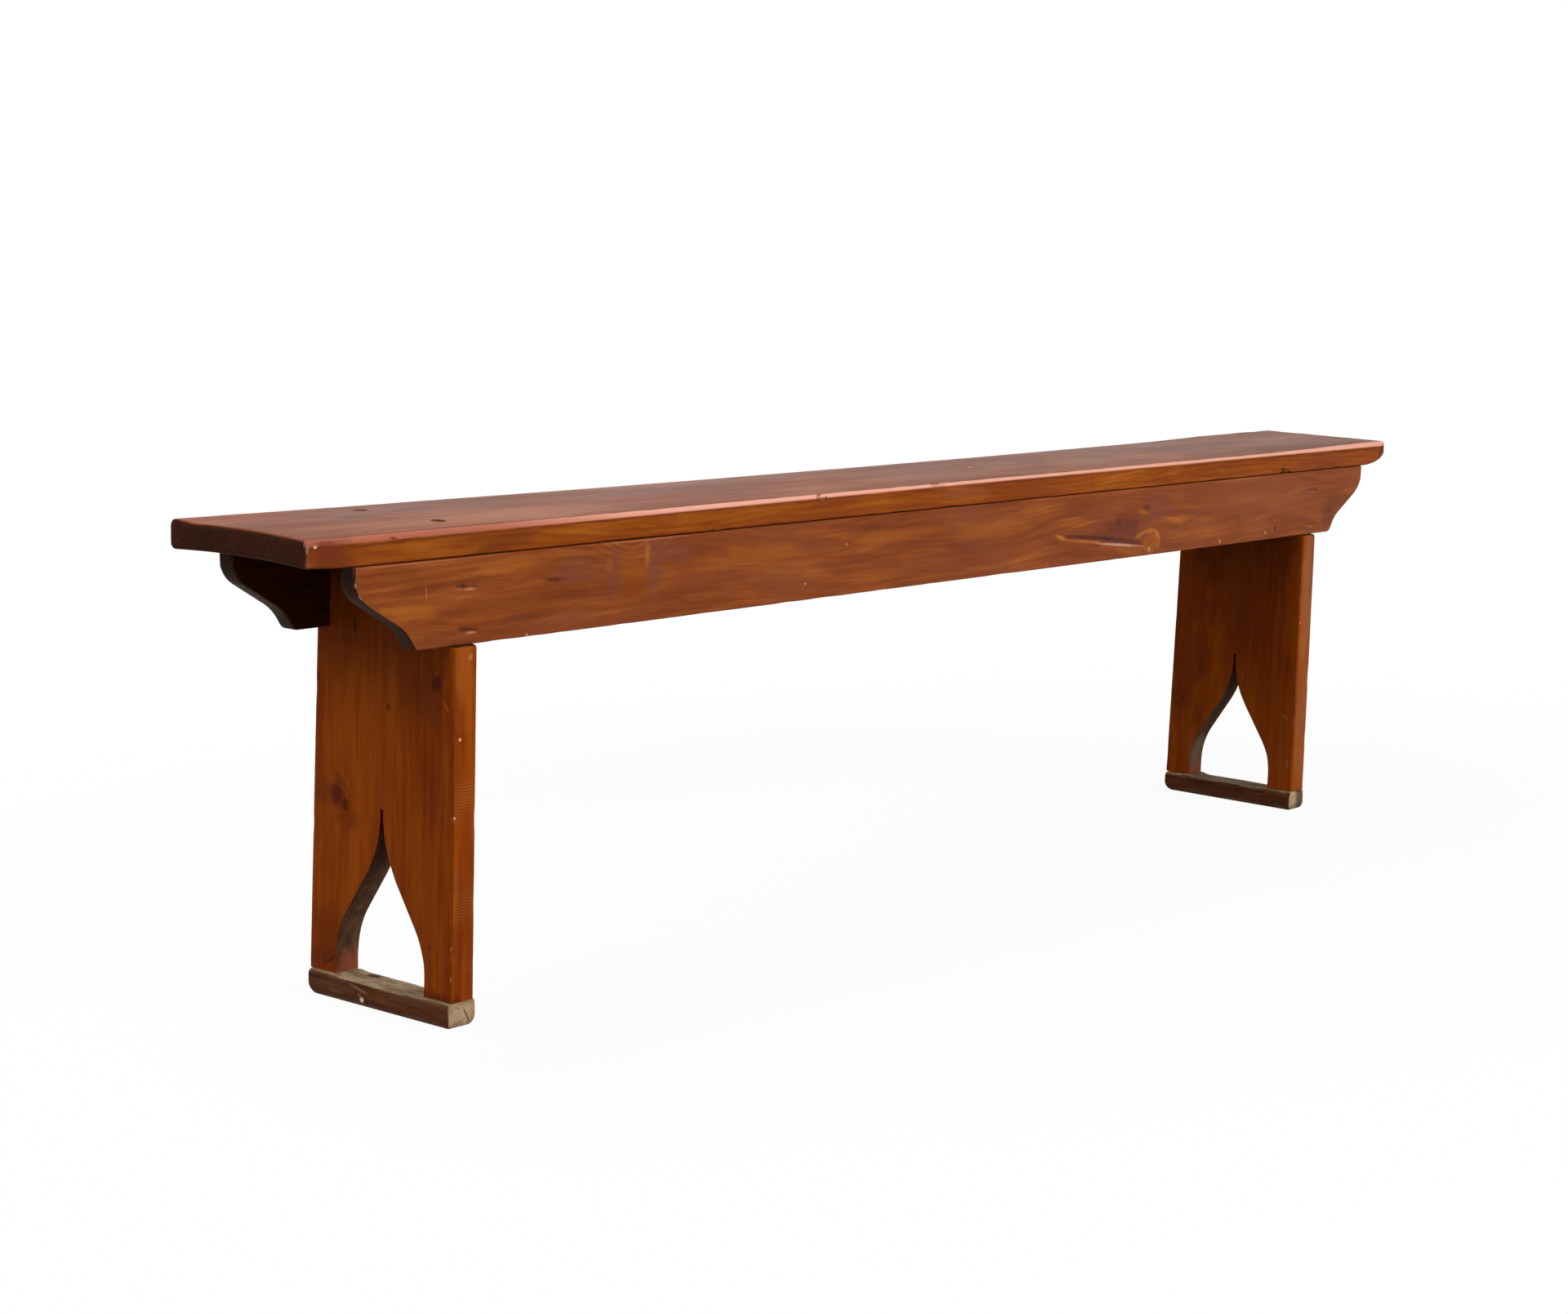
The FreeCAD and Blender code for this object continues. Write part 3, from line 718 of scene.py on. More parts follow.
def leg_extra(s, parts, facing, colour, rough, height):
    """Cross saw marks on the outer edges, and dull, rough sawn faces inside the arch."""
    x, y, z = parts
    sawn = s.mul(s.step(s.size(facing[1]), 0.7, 0.9), s.step(s.size(y), 0.08, 0.084))
    wobble = s.swing(s.noise(s.join(x, y, z), 60.0), 5.0)
    wave = s.math("SINE", s.add(s.mul(z, 2 * math.pi / (2.6 * MM)), wobble))
    strength = s.mul(s.mul(sawn, s.step(z, 0.3, 0.25)), s.step(s.noise(s.join(x, y, z), 22.0), 0.42, 0.62))
    colour = s.mix(s.mul(s.mul(strength, s.step(wave, 0.0, 1.0)), 0.42), colour, (190, 118, 60))
    height = s.add(height, s.mul(s.mul(strength, wave), 0.02 * MM))
    inside = s.mul(s.step(s.size(facing[0]), 0.75, 0.5), s.step(s.size(s.sub(y, LEG_MIDDLE)), 0.066, 0.063))
    dust = s.noise(s.join(x, y, s.mul(z, 0.5)), 130.0, 4.0, 0.7)
    sawn_colour = s.ramp(dust, [(0.3, (112, 82, 62)), (0.65, (68, 44, 31))])
    foot = s.mul(s.step(s.add(z, s.swing(dust, 0.03)), 0.052, 0.03), 0.8)
    sawn_colour = s.mix(foot, sawn_colour, (142, 78, 54))
    kerf = s.mul(s.step(s.size(s.sub(y, LEG_MIDDLE)), 0.004, 0.0025), s.step(z, 0.158, 0.164))
    colour = s.mix(inside, colour, s.mix(kerf, sawn_colour, (104, 22, 12)))
    height = s.add(height, s.mul(s.mul(inside, dust), 0.5 * MM))
    return colour, s.add(rough, s.mul(inside, 0.3)), height


LEG_LOOK = dict(
    RAIL_LOOK, axes=(2, 1, 0), pith=(0.03, -0.82), wave=0.05, ring=0.009, late=0.02, extra=leg_extra,
    drift=0.02, pull=0.05, streaks=0.6, mottles=0.42, clouds=0.34, fibres=0.18, fine=0.16,
    stain=[(182, 98, 14), (161, 78, 10), (144, 64, 8), (120, 47, 6), (84, 29, 5)],
    haze=0.3, haze_colour=(124, 51, 10), knot_colour=(66, 22, 10), chafe=(0.6, 0.8), worn=0.5,
    worn_colour=(172, 98, 40), hidden=(2, -1.0), gloss=0.03, relief=0.012, end_from=(0.6, 0.85),
)
left_leg_look = dict(LEG_LOOK, knots=[
    (0.310, -0.0695, 0.0055, 0.16), (0.282, -0.0098, 0.0028, 0.12), (0.192, 0.055, 0.0072, 0.16),
    (0.184, 0.044, 0.0045, 0.12), (0.298, 0.083, 0.003, 0.05), (0.071, -0.067, 0.0018, 0.05),
])

# In millimetres, the left leg's outer face, the right leg's inner face and the legs' front edges.
LEG_FACE = -751.5
INNER_FACE = 722.5
LEG_FRONT = -93
left_leg_look["washes"] = washes_on(0, LEG_FACE, 6, [
    (-60, 300, 30, 34, 0.45, (98, 40, 16)), (56, 192, 26, 20, 0.5, (104, 42, 20)),
    (40, 172, 16, 12, 0.4, (92, 38, 18)), (10, 250, 12, 70, 0.4, (162, 82, 14)),
    (-14, 300, 7, 50, 0.45, (158, 82, 20)), (-60, 110, 20, 60, 0.4, (150, 72, 10)),
    # The second wash on the line below darkens the back edge: painted shade.
    (60, 60, 26, 30, 0.45, (106, 42, 16)), (80, 230, 8, 120, 0.45, (106, 40, 12)),
]) + washes_on(0, LEG_FACE, 8, [
    # The second wash on the line below is the seat's shadow, painted dark on the top of the outer face.
    (74, 36, 30, 14, 0.5, (96, 40, 24)), (24, 426, 110, 48, 0.85, (22, 8, 3)),
]) + [
    # The first wash below darkens the foot where it meets the sole: painted shade.
    ((-744, -50, 25), (15, 60, 9), 0.7, (58, 23, 10)),
    ((-737, LEG_FRONT, 318), (14, 6, 34), 0.45, (176, 98, 36)),
    ((-735, LEG_FRONT, 120), (14, 6, 50), 0.35, (120, 54, 12)),
]
left_leg_look["marks"] = [
    line((-744.5, LEG_FRONT, 264), (-743, LEG_FRONT, 260.5), 1.7, (230, 186, 138)),
    spot((-749, LEG_FRONT, 192), 1.4, (220, 172, 126)),
    spot((-731.6, LEG_FRONT + 2, 335), 3.4, (190, 114, 62)),
    line((-750.5, LEG_FRONT - 1, 76), (-751, LEG_FRONT - 1, 68), 1.2, (190, 122, 78), 0.8),
    line((-751, LEG_FRONT - 1, 49), (-750.5, LEG_FRONT - 1, 43), 1.1, (176, 118, 80), 0.75),
    # A dark line down the front arris: painted shade.
    line((-750.5, -91, 345), (-750.5, -95, 26), 1.0, (92, 40, 18), 0.6),
    line((LEG_FACE, 34.5, 344), (LEG_FACE, 36, 358), 1.9, DARK_MARK),
    line((LEG_FACE, 72, 28), (LEG_FACE, 50, 43), 1.1, DARK_MARK),
    line((LEG_FACE, -80, 296), (LEG_FACE, -86, 286), 1.2, (170, 96, 44)),
]
right_leg_look = dict(LEG_LOOK, pith=(-0.03, 0.66), knots=[(0.12, 0.071, 0.0025, 0.1)])
right_leg_look["washes"] = [
    # Painted shade and light on the inner face, in the first, second, third and fifth washes: darker towards
    # the back and the top, under the seat, and lighter low at the front.
    ((INNER_FACE, 70, 240), (8, 50, 190), 0.7, (92, 34, 8)),
    ((INNER_FACE, -30, 330), (8, 80, 60), 0.5, (88, 32, 7)),
    ((INNER_FACE, 0, 230), (8, 30, 110), 0.4, (112, 46, 10)),
    ((737, 51, 62), (18, 9, 36), 0.6, (142, 114, 94)),
    ((INNER_FACE, -70, 90), (8, 20, 80), 0.3, (160, 78, 24)),
    ((737, LEG_FRONT, 280), (17, 5, 90), 0.5, (162, 104, 62)),
    ((737, LEG_FRONT, 110), (17, 5, 100), 0.4, (152, 96, 58)),
]
right_leg_look["marks"] = [
    line((INNER_FACE, -78, 120), (INNER_FACE, -84, 112), 1.2, (176, 112, 70), 0.6),
    line((INNER_FACE, -86, 64), (INNER_FACE, -88, 52), 1.4, (180, 120, 80), 0.6),
    spot((724.5, LEG_FRONT, 236), 1.5, (206, 156, 108), 0.7),
]


def sole_extra(s, parts, facing, colour, rough, height):
    """The upper face is trodden bare and grey, most of all along its edges."""
    x, y, z = parts
    bare = s.mul(s.step(facing[2], 0.3, 0.75), s.step(z, 0.016, 0.020))
    dust = s.noise(s.join(x, s.mul(y, 0.35), z), 120.0, 4.0, 0.7)
    greys = [(0.3, (196, 174, 146)), (0.52, (152, 128, 100)), (0.72, (84, 56, 36))]
    colour = s.mix(s.mul(bare, 0.9), colour, s.ramp(dust, greys))
    wander = s.swing(s.noise(s.join(0.0, y, 0.0), 40.0, 2.0), 0.012)
    seam = s.step(s.size(s.sub(s.add(z, wander), 0.0175)), 0.0024, 0.0006)
    patchy = s.step(s.noise(s.join(x, y, z), 22.0, 2.0), 0.36, 0.5)
    seam = s.mul(seam, s.step(s.size(facing[0]), 0.6, 0.85))
    colour = s.mix(s.mul(seam, s.mul(patchy, 0.75)), colour, (30, 14, 9))
    return colour, s.add(rough, s.mul(bare, 0.15)), s.add(height, s.mul(s.mul(bare, dust), 0.5 * MM))


SOLE_LOOK = dict(
    RAIL_LOOK, axes=(1, 2, 0), pith=(-0.05, -0.70), stretch=0.2, ring=0.005, late=0.06, extra=sole_extra,
    drift=0.02, pull=0.2, streaks=0.5, mottles=0.9, fibres=0.16, fine=0.2,
    stain=[(130, 80, 46), (104, 55, 26), (84, 41, 17), (64, 29, 12), (40, 18, 9)],
    haze=0.5, haze_colour=(106, 68, 46), hidden=(2, -1.0),
    end=[(0.2, (194, 168, 134)), (0.5, (156, 130, 98)), (0.8, (96, 74, 52))], end_rings=0.1,
    end_from=(0.6, 0.85), chafe=(0.4, 0.66), worn=0.8, worn_colour=(140, 110, 84),
    roughness=0.6, gloss=0.08, relief=0.08,
)
left_sole_look = dict(SOLE_LOOK, knots=[(0.023, 0.0125, 0.0025, 0.3)])
left_sole_look["washes"] = [
    ((-737, 74, 25), (24, 24, 6), 0.6, (96, 68, 50)), ((-737, -80, 25), (24, 22, 6), 0.5, (104, 78, 58)),
    ((-755, 54, 13), (5, 20, 4), 0.2, (120, 84, 60)), ((-755, -46, 17), (5, 36, 4), 0.35, (112, 78, 56)),
    ((-755, 60, 6), (5, 40, 7), 0.35, (58, 28, 14)), ((-755, -10, 5), (5, 40, 4), 0.4, (52, 26, 14)),
]
left_sole_look["marks"] = [
    spot((-754.5, 16, 6.6), 2.7, (242, 228, 202)),
    line((-731, 44, 22.5), (-724, 26, 22), 4.2, (44, 20, 12)),
    line((-728, -96, 3), (-737, -96, 19), 1.1, (84, 62, 46), 0.8),
    line((-740, -96, 17), (-751, -96, 22), 1.2, (112, 88, 66), 0.6),
    line((-755, 34, 19), (-755, 8, 13), 1.8, (142, 104, 80), 0.8),
    line((-755, 22, 12), (-755, 17, 9), 1.6, (150, 112, 88), 0.8),
    line((-755, 62, 9), (-755, 40, 8), 1.6, (124, 84, 60), 0.6),
]

right_sole_look = dict(SOLE_LOOK)
right_sole_look["washes"] = [
    ((737, 0, 25), (30, 110, 6), 0.66, (72, 50, 36)), ((719.5, 0, 10), (5, 120, 16), 0.4, (58, 28, 14)),
    ((744, -96, 10), (16, 6, 20), 0.85, (66, 54, 38)), ((737, -96, 2), (22, 6, 6), 0.6, (84, 66, 48)),
]


def plain_material(name, colours, scale, roughness, metallic, gloss):
    """A small part's material: two tones of noise, with the same noise in the roughness and bump."""
    s = Shader(name)
    place = s.node("ShaderNodeTexCoord").outputs["Object"]
    grain = s.noise(place, scale, 4.0, 0.6)
    s.set(s.surface.inputs["Base Color"], s.mix(s.step(grain, 0.35, 0.65), colours[0], colours[1]))
    s.set(s.surface.inputs["Roughness"], s.add(roughness, s.mul(grain, 0.2)))
    s.surface.inputs["Metallic"].default_value = metallic
    s.surface.inputs["Specular IOR Level"].default_value = gloss
    s.bump(s.mul(grain, 0.1 * MM))
    return s.material


# Boards.


def seat_skin():
    """The plank, with closer rings at its ends and where it is dented."""
    end_round = 2.5 * MM
    corner, corner_depth = 46 * MM, 17 * MM
    right_lift, left_kick = 3 * MM, 2 * MM
    fine = [-825 * MM, -404 * MM, -232 * MM, -37 * MM, 670 * MM, -SEAT_END, SEAT_END, SEAT_END - 26 * MM]
    rings = []
    for x in stations(-SEAT_END, SEAT_END, 7 * MM, 1.5 * MM, fine, 16 * MM):
        inset = end_inset(SEAT_END - abs(x), end_round)
        radii = [max(r * MM - inset, 0.4 * MM) for r in SEAT_ROUNDS]
        low, high = UNDER_EDGE + inset, SEAT_EDGE - inset
        points = ring(inset - SEAT_HALF, SEAT_HALF - inset, low, high, radii, (60, 12))
        worn_end = smooth(END_WEAR, 0, SEAT_END - abs(x))
        rings.append([(x, y, z, max(edge, worn_end)) for y, z, edge in points])

    def place(x, y, z):
        """The crown, and the lower front corner broken away at the right-hand end."""
        into = max(0, (x - SEAT_END + corner) / corner)
        lost = corner_depth * (1 - math.sqrt(1 - into**2)) * smooth(-52 * MM, -84 * MM, y)
        top = z + crown_at(y) + lost * (SEAT_EDGE - z) / SEAT_THICKNESS
        bow = (4 * (x / SEAT_END) ** 2 - 1) * MM * smooth(50 * MM, SEAT_HALF, y)
        bow += right_lift * smooth(600 * MM, SEAT_END, x)
        kick = left_kick * smooth(880 * MM, SEAT_END, -x) * smooth(SEAT_EDGE, UNDER_EDGE, z)
        return x, y, min(top + bow * smooth(UNDER_EDGE, SEAT_EDGE, z), SEAT_EDGE + CROWN) + kick

    return loft(rings, place, (True, True))


def seat_wear(point, edge):
    """How deep the board is worn at a point."""
    top = smooth(SEAT_EDGE - 8 * MM, SEAT_EDGE, point.z)
    return 0.25 * MM * waver(point, 12, 3) * top + 0.45 * MM * edge * smooth(0.4, 0.75, waver(point, 38, 7))


FRONT_TOP = (0, 1, -1)
seat_dents = [
    dent((-235, -88, 451), (-231, -88, 445), 6.5, 3.4, FRONT_TOP),
    dent((-44, -88, 451), (-34, -88, 450), 6.5, 2.4, FRONT_TOP),
    dent((-828, -88, 451), (-820, -88, 450), 6, 1.4, FRONT_TOP),
    dent((668, -88, 424), (688, -88, 424), 5, 2.2, (0, 1, 1)),
    dent((-407, -88, 424), (-401, -88, 424), 4, 1.6, (0, 1, 1)),
]


def ogee_profile():
    """The ogee as (distance in from the rail's end, height), from the nib down to the toe."""
    turn = math.pi / 2 - OGEE_SLOPE
    points = [(0.0, UNDER_EDGE - OGEE_NIB)]
    for angle in spread(0, turn, math.radians(4))[1:]:
        down = OGEE_NIB + OGEE_BULGE * math.sin(angle)
        points.append((OGEE_BULGE * (1 - math.cos(angle)), UNDER_EDGE - down))
    hollow_drop = OGEE_HOLLOW * (math.cos(OGEE_SLOPE) - math.cos(OGEE_FOOT))
    bulge_in, bulge_z = points[-1]
    run_drop = bulge_z - RAIL_UNDER - hollow_drop
    run_in = bulge_in + run_drop / math.tan(OGEE_SLOPE)
    run_z = bulge_z - run_drop
    for share in (0.25, 0.5, 0.75):
        points.append((bulge_in + (run_in - bulge_in) * share, bulge_z - run_drop * share))
    for heading in spread(OGEE_SLOPE, OGEE_FOOT, math.radians(4)):
        inward = OGEE_HOLLOW * (math.sin(heading) - math.sin(OGEE_SLOPE))
        down = OGEE_HOLLOW * (math.cos(OGEE_SLOPE) - math.cos(heading))
        points.append((run_in + inward, run_z - down))
    toe_in = points[-1][0]
    points = [point for point in points if point[1] > RAIL_UNDER + TOE_ROUND]
    start_in, start_z = points[-1]
    for share in (0.2, 0.4, 0.6, 0.8, 1.0):
        before, beside, after = (1 - share) ** 2, 2 * share * (1 - share), share**2
        inward = before * start_in + beside * toe_in + after * (toe_in + TOE_ROUND)
        points.append((inward, before * start_z + (beside + after) * RAIL_UNDER))
    return points


def rail_skin(side):
    """A rail with its two ogees. The front one has closer rings along its scar."""
    profile = ogee_profile()
    toe = RAIL_END - profile[-1][0]
    fine = [-740 * MM, 740 * MM]
    if side < 0:
        fine += [x * MM for x in range(190, 375, 20)]
    middle = stations(-toe, toe, 7 * MM, 1.6 * MM, fine, 14 * MM)[1:-1]
    left = [(-RAIL_END + inward, low) for inward, low in profile]
    right = [(RAIL_END - inward, low) for inward, low in reversed(profile)]
    rings = []
    for x, low in left + [(x, RAIL_UNDER) for x in middle] + right:
        inset = 1.4 * MM * smooth(2 * MM, 0, RAIL_END - abs(x))
        face, back = sorted((side * RAIL_FACE, side * RAIL_BACK))
        radii = [r * MM for r in RAIL_ROUNDS]
        points = ring(face + inset, back - inset, low, UNDER_EDGE - 0.3 * MM, radii, (4, 56))
        worn_end = smooth(END_WEAR, 0, RAIL_END - abs(x))
        rings.append([(x, y, z, max(edge, worn_end)) for y, z, edge in points])

    def place(x, y, z):
        lift = crown_at(y) - crown_at(side * RAIL_FACE)
        return x, y, z + lift * smooth(UNDER_EDGE - 6 * MM, UNDER_EDGE, z)

    return loft(rings, place, (True, True))


def rail_wear(point, edge):
    low = smooth(UNDER_EDGE - 3 * MM, UNDER_EDGE - 10 * MM, point.z)
    return 0.12 * MM * waver(point, 16, 11) + 0.4 * MM * edge * low * smooth(0.45, 0.8, waver(point, 34, 5))


front_rail_dents = [
    dent((-744, -87, 397.5), (-724, -87, 397.5), 4.5, 1.6),
    dent((-741, -87, 358.5), (-722, -87, 358.5), 4.5, 1.5),
    dent((735, -87, 400), (752, -87, 400), 4, 1.5),
    dent((734, -87, 357.5), (750, -87, 357), 4, 1.5),
    dent((196, -87, 377), (292, -87, 367), 5, 1.3),
    dent((280, -87, 368), (360, -87, 357), 7, 2.2),
    dent((659, -87, 360), (661, -87, 356), 3.5, 1.2),
]
back_rail_dents = [
    dent((side * 740 - 5, 87, z), (side * 740 + 5, 87, z), 4.5, 1.5, (0, -1, 0))
    for side in (-1, 1) for z in (398, 358.5)
]


# The keel arch from its spring up: the bulge's end, the hollow's start, and the saw kerf's two ends.
BEND = 1 - math.cos(ARCH_SLOPE)
ARCH_SPRING = SOLE_TOP + ARCH_JAMB
ARCH_HALF = LEG_BASE - ARCH_POST
BULGE_SIDE = ARCH_HALF - ARCH_BULGE * BEND
BULGE_TOP = ARCH_SPRING + ARCH_BULGE * math.sin(ARCH_SLOPE)
HOLLOW_SIDE = KERF / 2 + ARCH_HOLLOW * BEND
HOLLOW_FOOT = BULGE_TOP + (BULGE_SIDE - HOLLOW_SIDE) / math.tan(ARCH_SLOPE)
KERF_FOOT = HOLLOW_FOOT + ARCH_HOLLOW * math.sin(ARCH_SLOPE)
KERF_TOP = KERF_FOOT + KERF_LENGTH


def arch_half(z):
    """Half of the keel arch's width at this height."""
    if z <= ARCH_SPRING:
        return ARCH_HALF
    if z <= BULGE_TOP:
        return ARCH_HALF - ARCH_BULGE + math.sqrt(ARCH_BULGE**2 - (z - ARCH_SPRING) ** 2)
    if z <= HOLLOW_FOOT:
        return BULGE_SIDE - (z - BULGE_TOP) * math.tan(ARCH_SLOPE)
    if z <= KERF_FOOT:
        return KERF / 2 + ARCH_HOLLOW - math.sqrt(ARCH_HOLLOW**2 - (KERF_FOOT - z) ** 2)
    return KERF / 2


def leg_half(z):
    """Half of the leg's width at this height, below the rails."""
    share = (z - SOLE_TOP) / (RAIL_UNDER - SOLE_TOP)
    return LEG_BASE + (LEG_TOP - LEG_BASE) * share


def leg_skins(side):
    """The two posts beside the arch, the solid part over it, and the tongue between the rails."""
    low_x, high_x = -side * LEG_CENTRE - LEG_HALF, -side * LEG_CENTRE + LEG_HALF
    outer, inner, step = 3 * MM, 0.8 * MM, 3 * MM
    skins = []

    def place(z, x, y):
        return x, y + LEG_MIDDLE, z

    for end in (-1, 1):
        rings = []
        for z in spread(SOLE_TOP, KERF_TOP, step):
            low, high = sorted((end * arch_half(z), end * leg_half(z)))
            radii = [inner, inner, outer, outer] if end > 0 else [outer, outer, inner, inner]
            rings.append([(z, *point) for point in ring(low_x, high_x, low, high, radii, (10, 14))])
        skins.append(loft(rings, place, (True, False)))
    rings = []
    levels = spread(KERF_TOP, RAIL_UNDER - outer, step)
    levels += spread(RAIL_UNDER - 2.5 * MM, RAIL_UNDER, 0.5 * MM)
    for z in levels:
        half = leg_half(z) - end_inset(RAIL_UNDER - z, outer)
        rings.append([(z, *point) for point in ring(low_x, high_x, -half, half, [outer] * 4, (10, 40))])
    skins.append(loft(rings, place, (True, True)))
    rings = []
    for z in spread(RAIL_UNDER - 1 * MM, UNDER_EDGE, 4 * MM):
        points = ring(low_x, high_x, -RAIL_BACK, RAIL_BACK, [inner] * 4, (10, 40))
        rings.append([(z, *point) for point in points])

    def scribed(z, x, y):
        """The top follows the seat's cupped underside."""
        share = (z - RAIL_UNDER) / (UNDER_EDGE - RAIL_UNDER)
        return x, y, z + crown_at(y) * max(share, 0)

    skins.append(loft(rings, scribed, (False, True)))
    return skins


def leg_wear(point, edge):
    low = smooth(RAIL_UNDER + 2 * MM, RAIL_UNDER - 4 * MM, point.z)
    return low * (0.1 * MM * waver(point, 14, 17) + 0.4 * MM * edge * smooth(0.5, 0.8, waver(point, 40, 9)))


left_leg_dents = [
    dent((-748, -93, 263), (-748, -93, 261), 4, 1.3, (1, 1, 0)),
    dent((-750, -93.5, 192), (-750, -93.5, 191), 3, 1.0, (1, 1, 0)),
    dent((-750, -94.5, 72), (-750, -94.5, 66), 4, 1.2, (1, 1, 0)),
    dent((-752, 70, 30), (-752, 52, 42), 1.8, 0.9, (1, 0, 0)),
]


def sole_skin(side):
    """A sole, rounder at its back end than at its front end."""
    half_x, half_y = (sole_high[0] - sole_low[0]) / 2, sole_high[1]
    centre = -side * LEG_CENTRE
    rings = []
    for y in stations(-half_y, half_y, 4 * MM, 0.9 * MM, [-half_y, half_y], 14 * MM):
        distance = half_y - abs(y)
        low = end_inset(distance, (12 if y > 0 else 5) * MM)
        high = SOLE_TOP - end_inset(distance, (6 if y > 0 else 2.5) * MM)
        inset = end_inset(distance, 3.5 * MM)
        fit = min(1, (high - low) / (12 * MM))
        radii = [r * fit * MM for r in SOLE_ROUNDS]
        points = ring(centre - half_x + inset, centre + half_x - inset, low, high, radii, (14, 10))
        worn_end = smooth(4 * MM, 0, distance)
        rings.append([(y, x, z, max(edge, worn_end)) for x, z, edge in points])
    return loft(rings, lambda y, x, z: (x, y + LEG_MIDDLE, z), (True, True))


def sole_wear(point, edge):
    """Ragged arrises, and a hollow trodden into the top between the posts."""
    between = smooth(57 * MM, 40 * MM, abs(point.y - LEG_MIDDLE))
    hollow = between * smooth(SOLE_TOP - 3 * MM, SOLE_TOP, point.z)
    off_floor = 1 - smooth(3 * MM, 0, point.z)
    rough = 0.25 * MM * waver(point, 45, 21) * (1 - smooth(SOLE_TOP - 2 * MM, SOLE_TOP, point.z))
    ragged = 1.3 * MM * edge * smooth(0.35, 0.8, waver(point, 42, 23))
    return off_floor * (rough + ragged) + hollow * (1.6 + 1.2 * waver(point, 30, 31)) * MM


def dressed(name, skins, node, look, wear, dents):
    """A board in its pine."""
    piece = board(name, skins, node, pine(name + "_pine", look), wear, dents)
    return piece


dressed("worn_seat", [seat_skin()], "seat_plank", SEAT_LOOK, seat_wear, seat_dents)
dressed("worn_front_rail", [rail_skin(-1)], "front_rail", front_rail_look, rail_wear, front_rail_dents)
dressed("worn_back_rail", [rail_skin(1)], "back_rail", back_rail_look, rail_wear, back_rail_dents)
dressed("worn_left_leg", leg_skins(-1), "left_leg", left_leg_look, leg_wear, left_leg_dents)
dressed("worn_right_leg", leg_skins(1), "right_leg", right_leg_look, leg_wear, [])
sole_dents = [dent((-729, 41, 25), (-726, 28, 25), 5, 3.2, (0, 0, -1))]
dressed("worn_left_sole", [sole_skin(-1)], "left_sole", left_sole_look, sole_wear, sole_dents)
dressed("worn_right_sole", [sole_skin(1)], "right_sole", right_sole_look, sole_wear, [])

iron = plain_material("rusted_iron", ((52, 34, 26), (94, 56, 34)), 900.0, 0.55, 0.4, 0.2)
steel = plain_material("dull_steel", ((120, 116, 110), (84, 80, 76)), 700.0, 0.35, 1.0, 0.5)
plug = plain_material("dark_pellet", ((84, 40, 26), (50, 22, 15)), 420.0, 0.55, 0.0, 0.02)
for node_name, node_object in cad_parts.items():
    chosen = {"nails": iron, "screws": steel, "pellets": plug}.get(node_name.rsplit("_", 1)[-1])
    if chosen:
        node_object.data.materials.clear()
        node_object.data.materials.append(chosen)


# Floor, light and camera.


WORLD_LIGHT = 0.28
FLOOR_REACH = 40.0
FLOOR_LEVEL = -0.3 * MM


def seen_rays(tree):
    """1 for a ray from the camera, or one reflected or passed through to it."""
    ray = tree.nodes.new("ShaderNodeLightPath")
    seen = ray.outputs["Is Camera Ray"]
    for name in ("Is Glossy Ray", "Is Transmission Ray"):
        joined = tree.nodes.new("ShaderNodeMath")
        joined.operation = "MAXIMUM"
        tree.links.new(seen, joined.inputs[0])
        tree.links.new(ray.outputs[name], joined.inputs[1])
        seen = joined.outputs[0]
    return seen


def floor_material():
    """White to the camera but for the shadow near the bench, and darker ground to light that bounces."""
    s = Shader("pale_floor")
    tree = s.tree
    tree.nodes.remove(s.surface)
    output = next(n for n in tree.nodes if n.type == "OUTPUT_MATERIAL")
    seen = seen_rays(tree)
    place = s.node("ShaderNodeTexCoord").outputs["Object"]
    oval = s.vector("MULTIPLY", place, (0.6, 1.0, 1.0))
    away = s.step(s.length(oval), 0.5, 1.3)
    speckle = s.swing(s.noise(place, 300.0), 0.01)
    matt = s.node("ShaderNodeBsdfDiffuse")
    s.set(matt.inputs["Color"], s.mix(seen, (0.3, 0.29, 0.28, 1.0), (0.9, 0.9, 0.9, 1.0)))
    white = s.node("ShaderNodeEmission")
    blend = s.node("ShaderNodeMixShader")
    s.set(blend.inputs[0], s.mul(seen, s.add(s.add(s.mul(away, 0.07), 0.93), speckle)))
    tree.links.new(matt.outputs[0], blend.inputs[1])
    tree.links.new(white.outputs[0], blend.inputs[2])
    tree.links.new(blend.outputs[0], output.inputs["Surface"])
    return s.material


def add_floor():
    mesh = bpy.data.meshes.new("floor")
    turns = [(-1, -1), (1, -1), (1, 1), (-1, 1)]
    corners = [(x * FLOOR_REACH, y * FLOOR_REACH, FLOOR_LEVEL) for x, y in turns]
    mesh.from_pydata(corners, [], [(0, 1, 2, 3)])
    mesh.materials.append(floor_material())
    floor = added("floor", mesh)


def add_world():
    """White to the camera and in reflections, and a plain soft grey as light."""
    world = bpy.data.worlds.new("studio")
    world.use_nodes = True
    tree = world.node_tree
    background = tree.nodes["Background"]
    background.inputs["Color"].default_value = (1.0, 1.0, 1.0, 1.0)
    strength = tree.nodes.new("ShaderNodeMapRange")
    strength.inputs["To Min"].default_value = WORLD_LIGHT
    strength.inputs["To Max"].default_value = 1.0
    tree.links.new(seen_rays(tree), strength.inputs["Value"])
    tree.links.new(strength.outputs[0], background.inputs["Strength"])
    bpy.context.scene.world = world


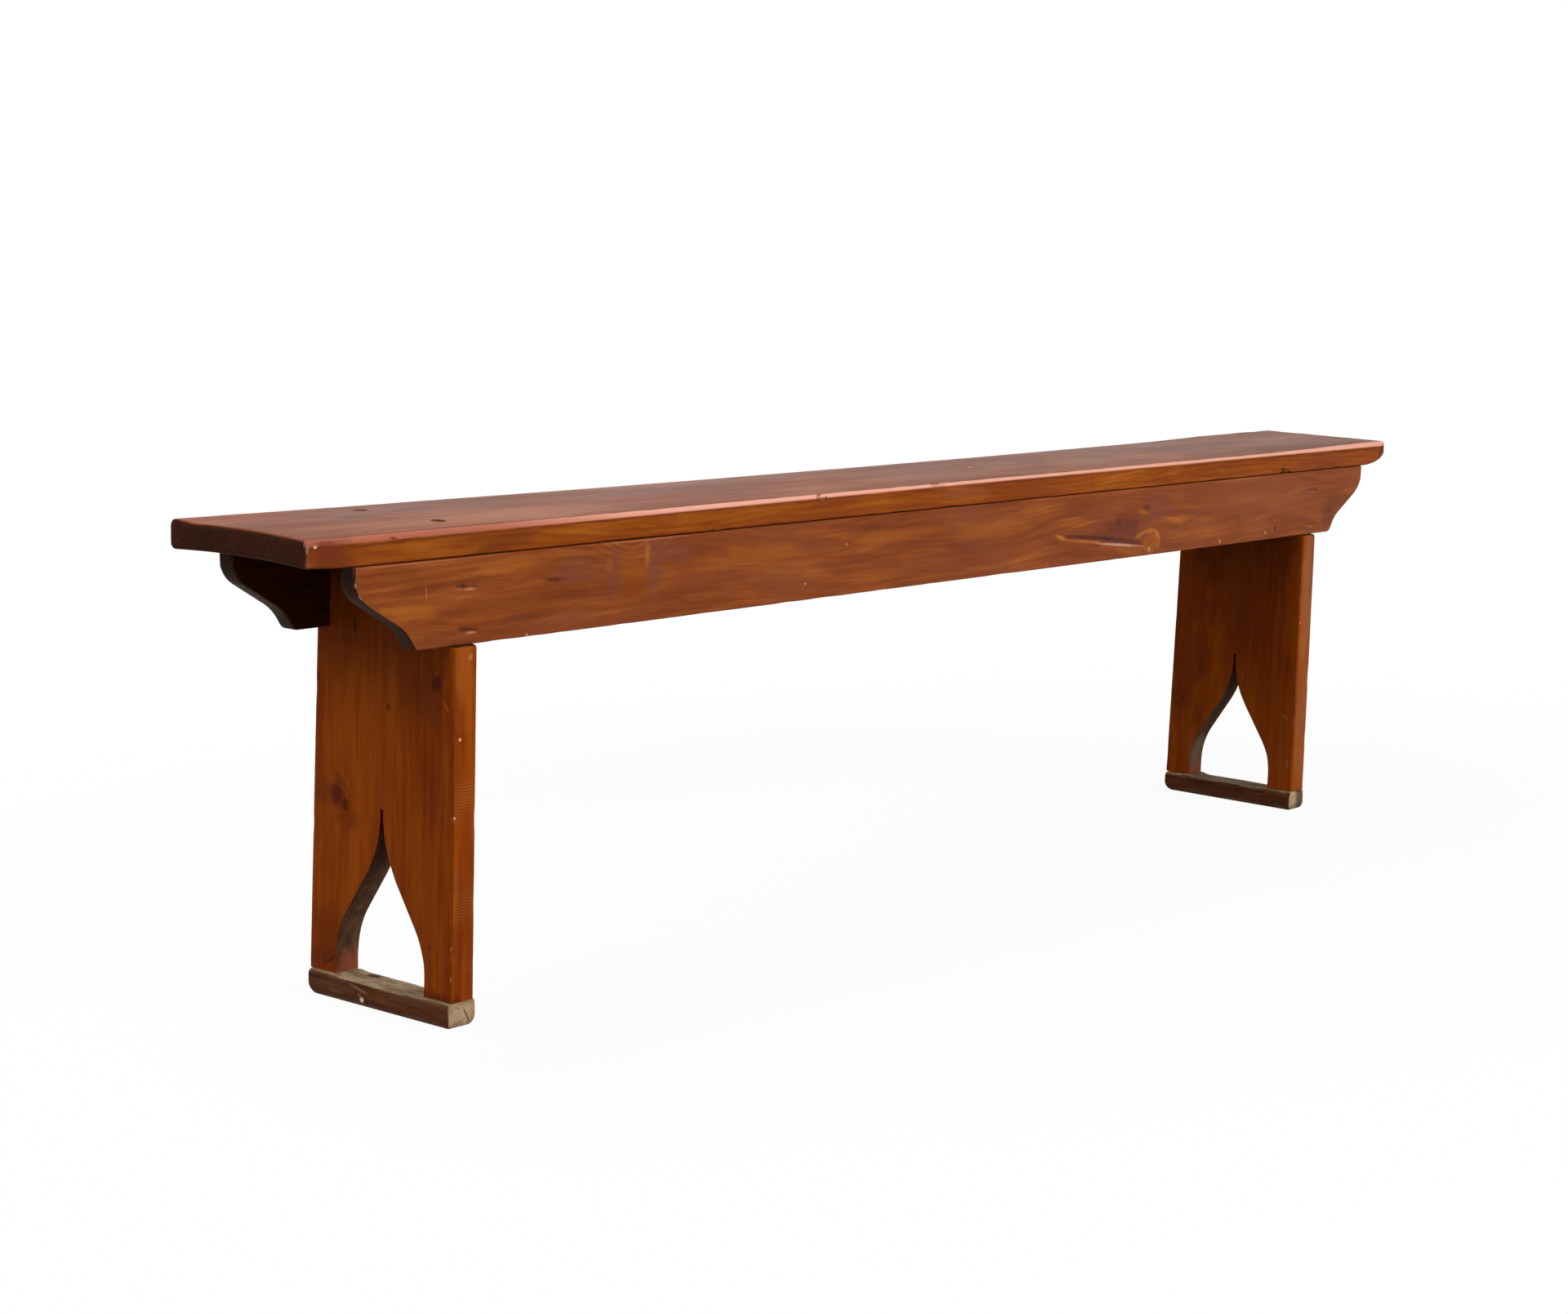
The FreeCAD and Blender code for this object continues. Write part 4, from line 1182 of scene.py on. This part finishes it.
def add_lamp(name, place, target, size, power, colour):
    light = bpy.data.lights.new(name, "AREA")
    light.shape = "RECTANGLE"
    light.size, light.size_y = size
    light.energy = power
    light.color = colour
    lamp = added(name, light)
    lamp.location = place
    aim = Vector(target) - Vector(place)
    lamp.rotation_euler = aim.to_track_quat("-Z", "Y").to_euler()
    lamp.visible_camera = False


add_floor()
add_world()

# Each lamp with its place, what it is aimed at, its size, its power and its colour.
add_lamp("key", (0.8, -4.6, 2.3), (0.0, 0.0, 0.3), (3.0, 2.0), 185.0, (1.0, 0.97, 0.93))
add_lamp("side", (-4.2, -0.3, 3.0), (-0.7, 0.0, 0.3), (1.6, 1.4), 62.0, (1.0, 0.96, 0.9))
add_lamp("top", (-0.95, 0.7, 1.7), (-0.9, 0.0, 0.45), (0.7, 0.7), 12.0, (1.0, 0.96, 0.9))

# The camera stands where the photograph was taken, found from the bench's corners.
CAMERA_PLACE = Vector((-2.7218, -2.0464, 0.7705))
CAMERA_AZIMUTH = 0.8928
CAMERA_DOWN = 0.1521
CAMERA_ROLL = 0.035
SENSOR_WIDTH = 36.0
FOCAL_SHARE = 3901.84 / 1920


def add_camera():
    ahead = Vector((
        math.sin(CAMERA_AZIMUTH) * math.cos(CAMERA_DOWN),
        math.cos(CAMERA_AZIMUTH) * math.cos(CAMERA_DOWN),
        -math.sin(CAMERA_DOWN),
    ))
    level = ahead.cross(Vector((0, 0, 1))).normalized()
    upward = level.cross(ahead)
    right = level * math.cos(CAMERA_ROLL) + upward * math.sin(CAMERA_ROLL)
    up = upward * math.cos(CAMERA_ROLL) - level * math.sin(CAMERA_ROLL)
    lens = bpy.data.cameras.new("camera")
    lens.sensor_width = SENSOR_WIDTH
    lens.lens = SENSOR_WIDTH * FOCAL_SHARE
    lens.clip_end = 200.0
    camera = added("camera", lens)
    turn = Matrix((right, up, -ahead)).transposed().to_4x4()
    camera.matrix_world = Matrix.Translation(CAMERA_PLACE) @ turn
    bpy.context.scene.camera = camera


add_camera()
bpy.context.scene.view_settings.view_transform = "Standard"
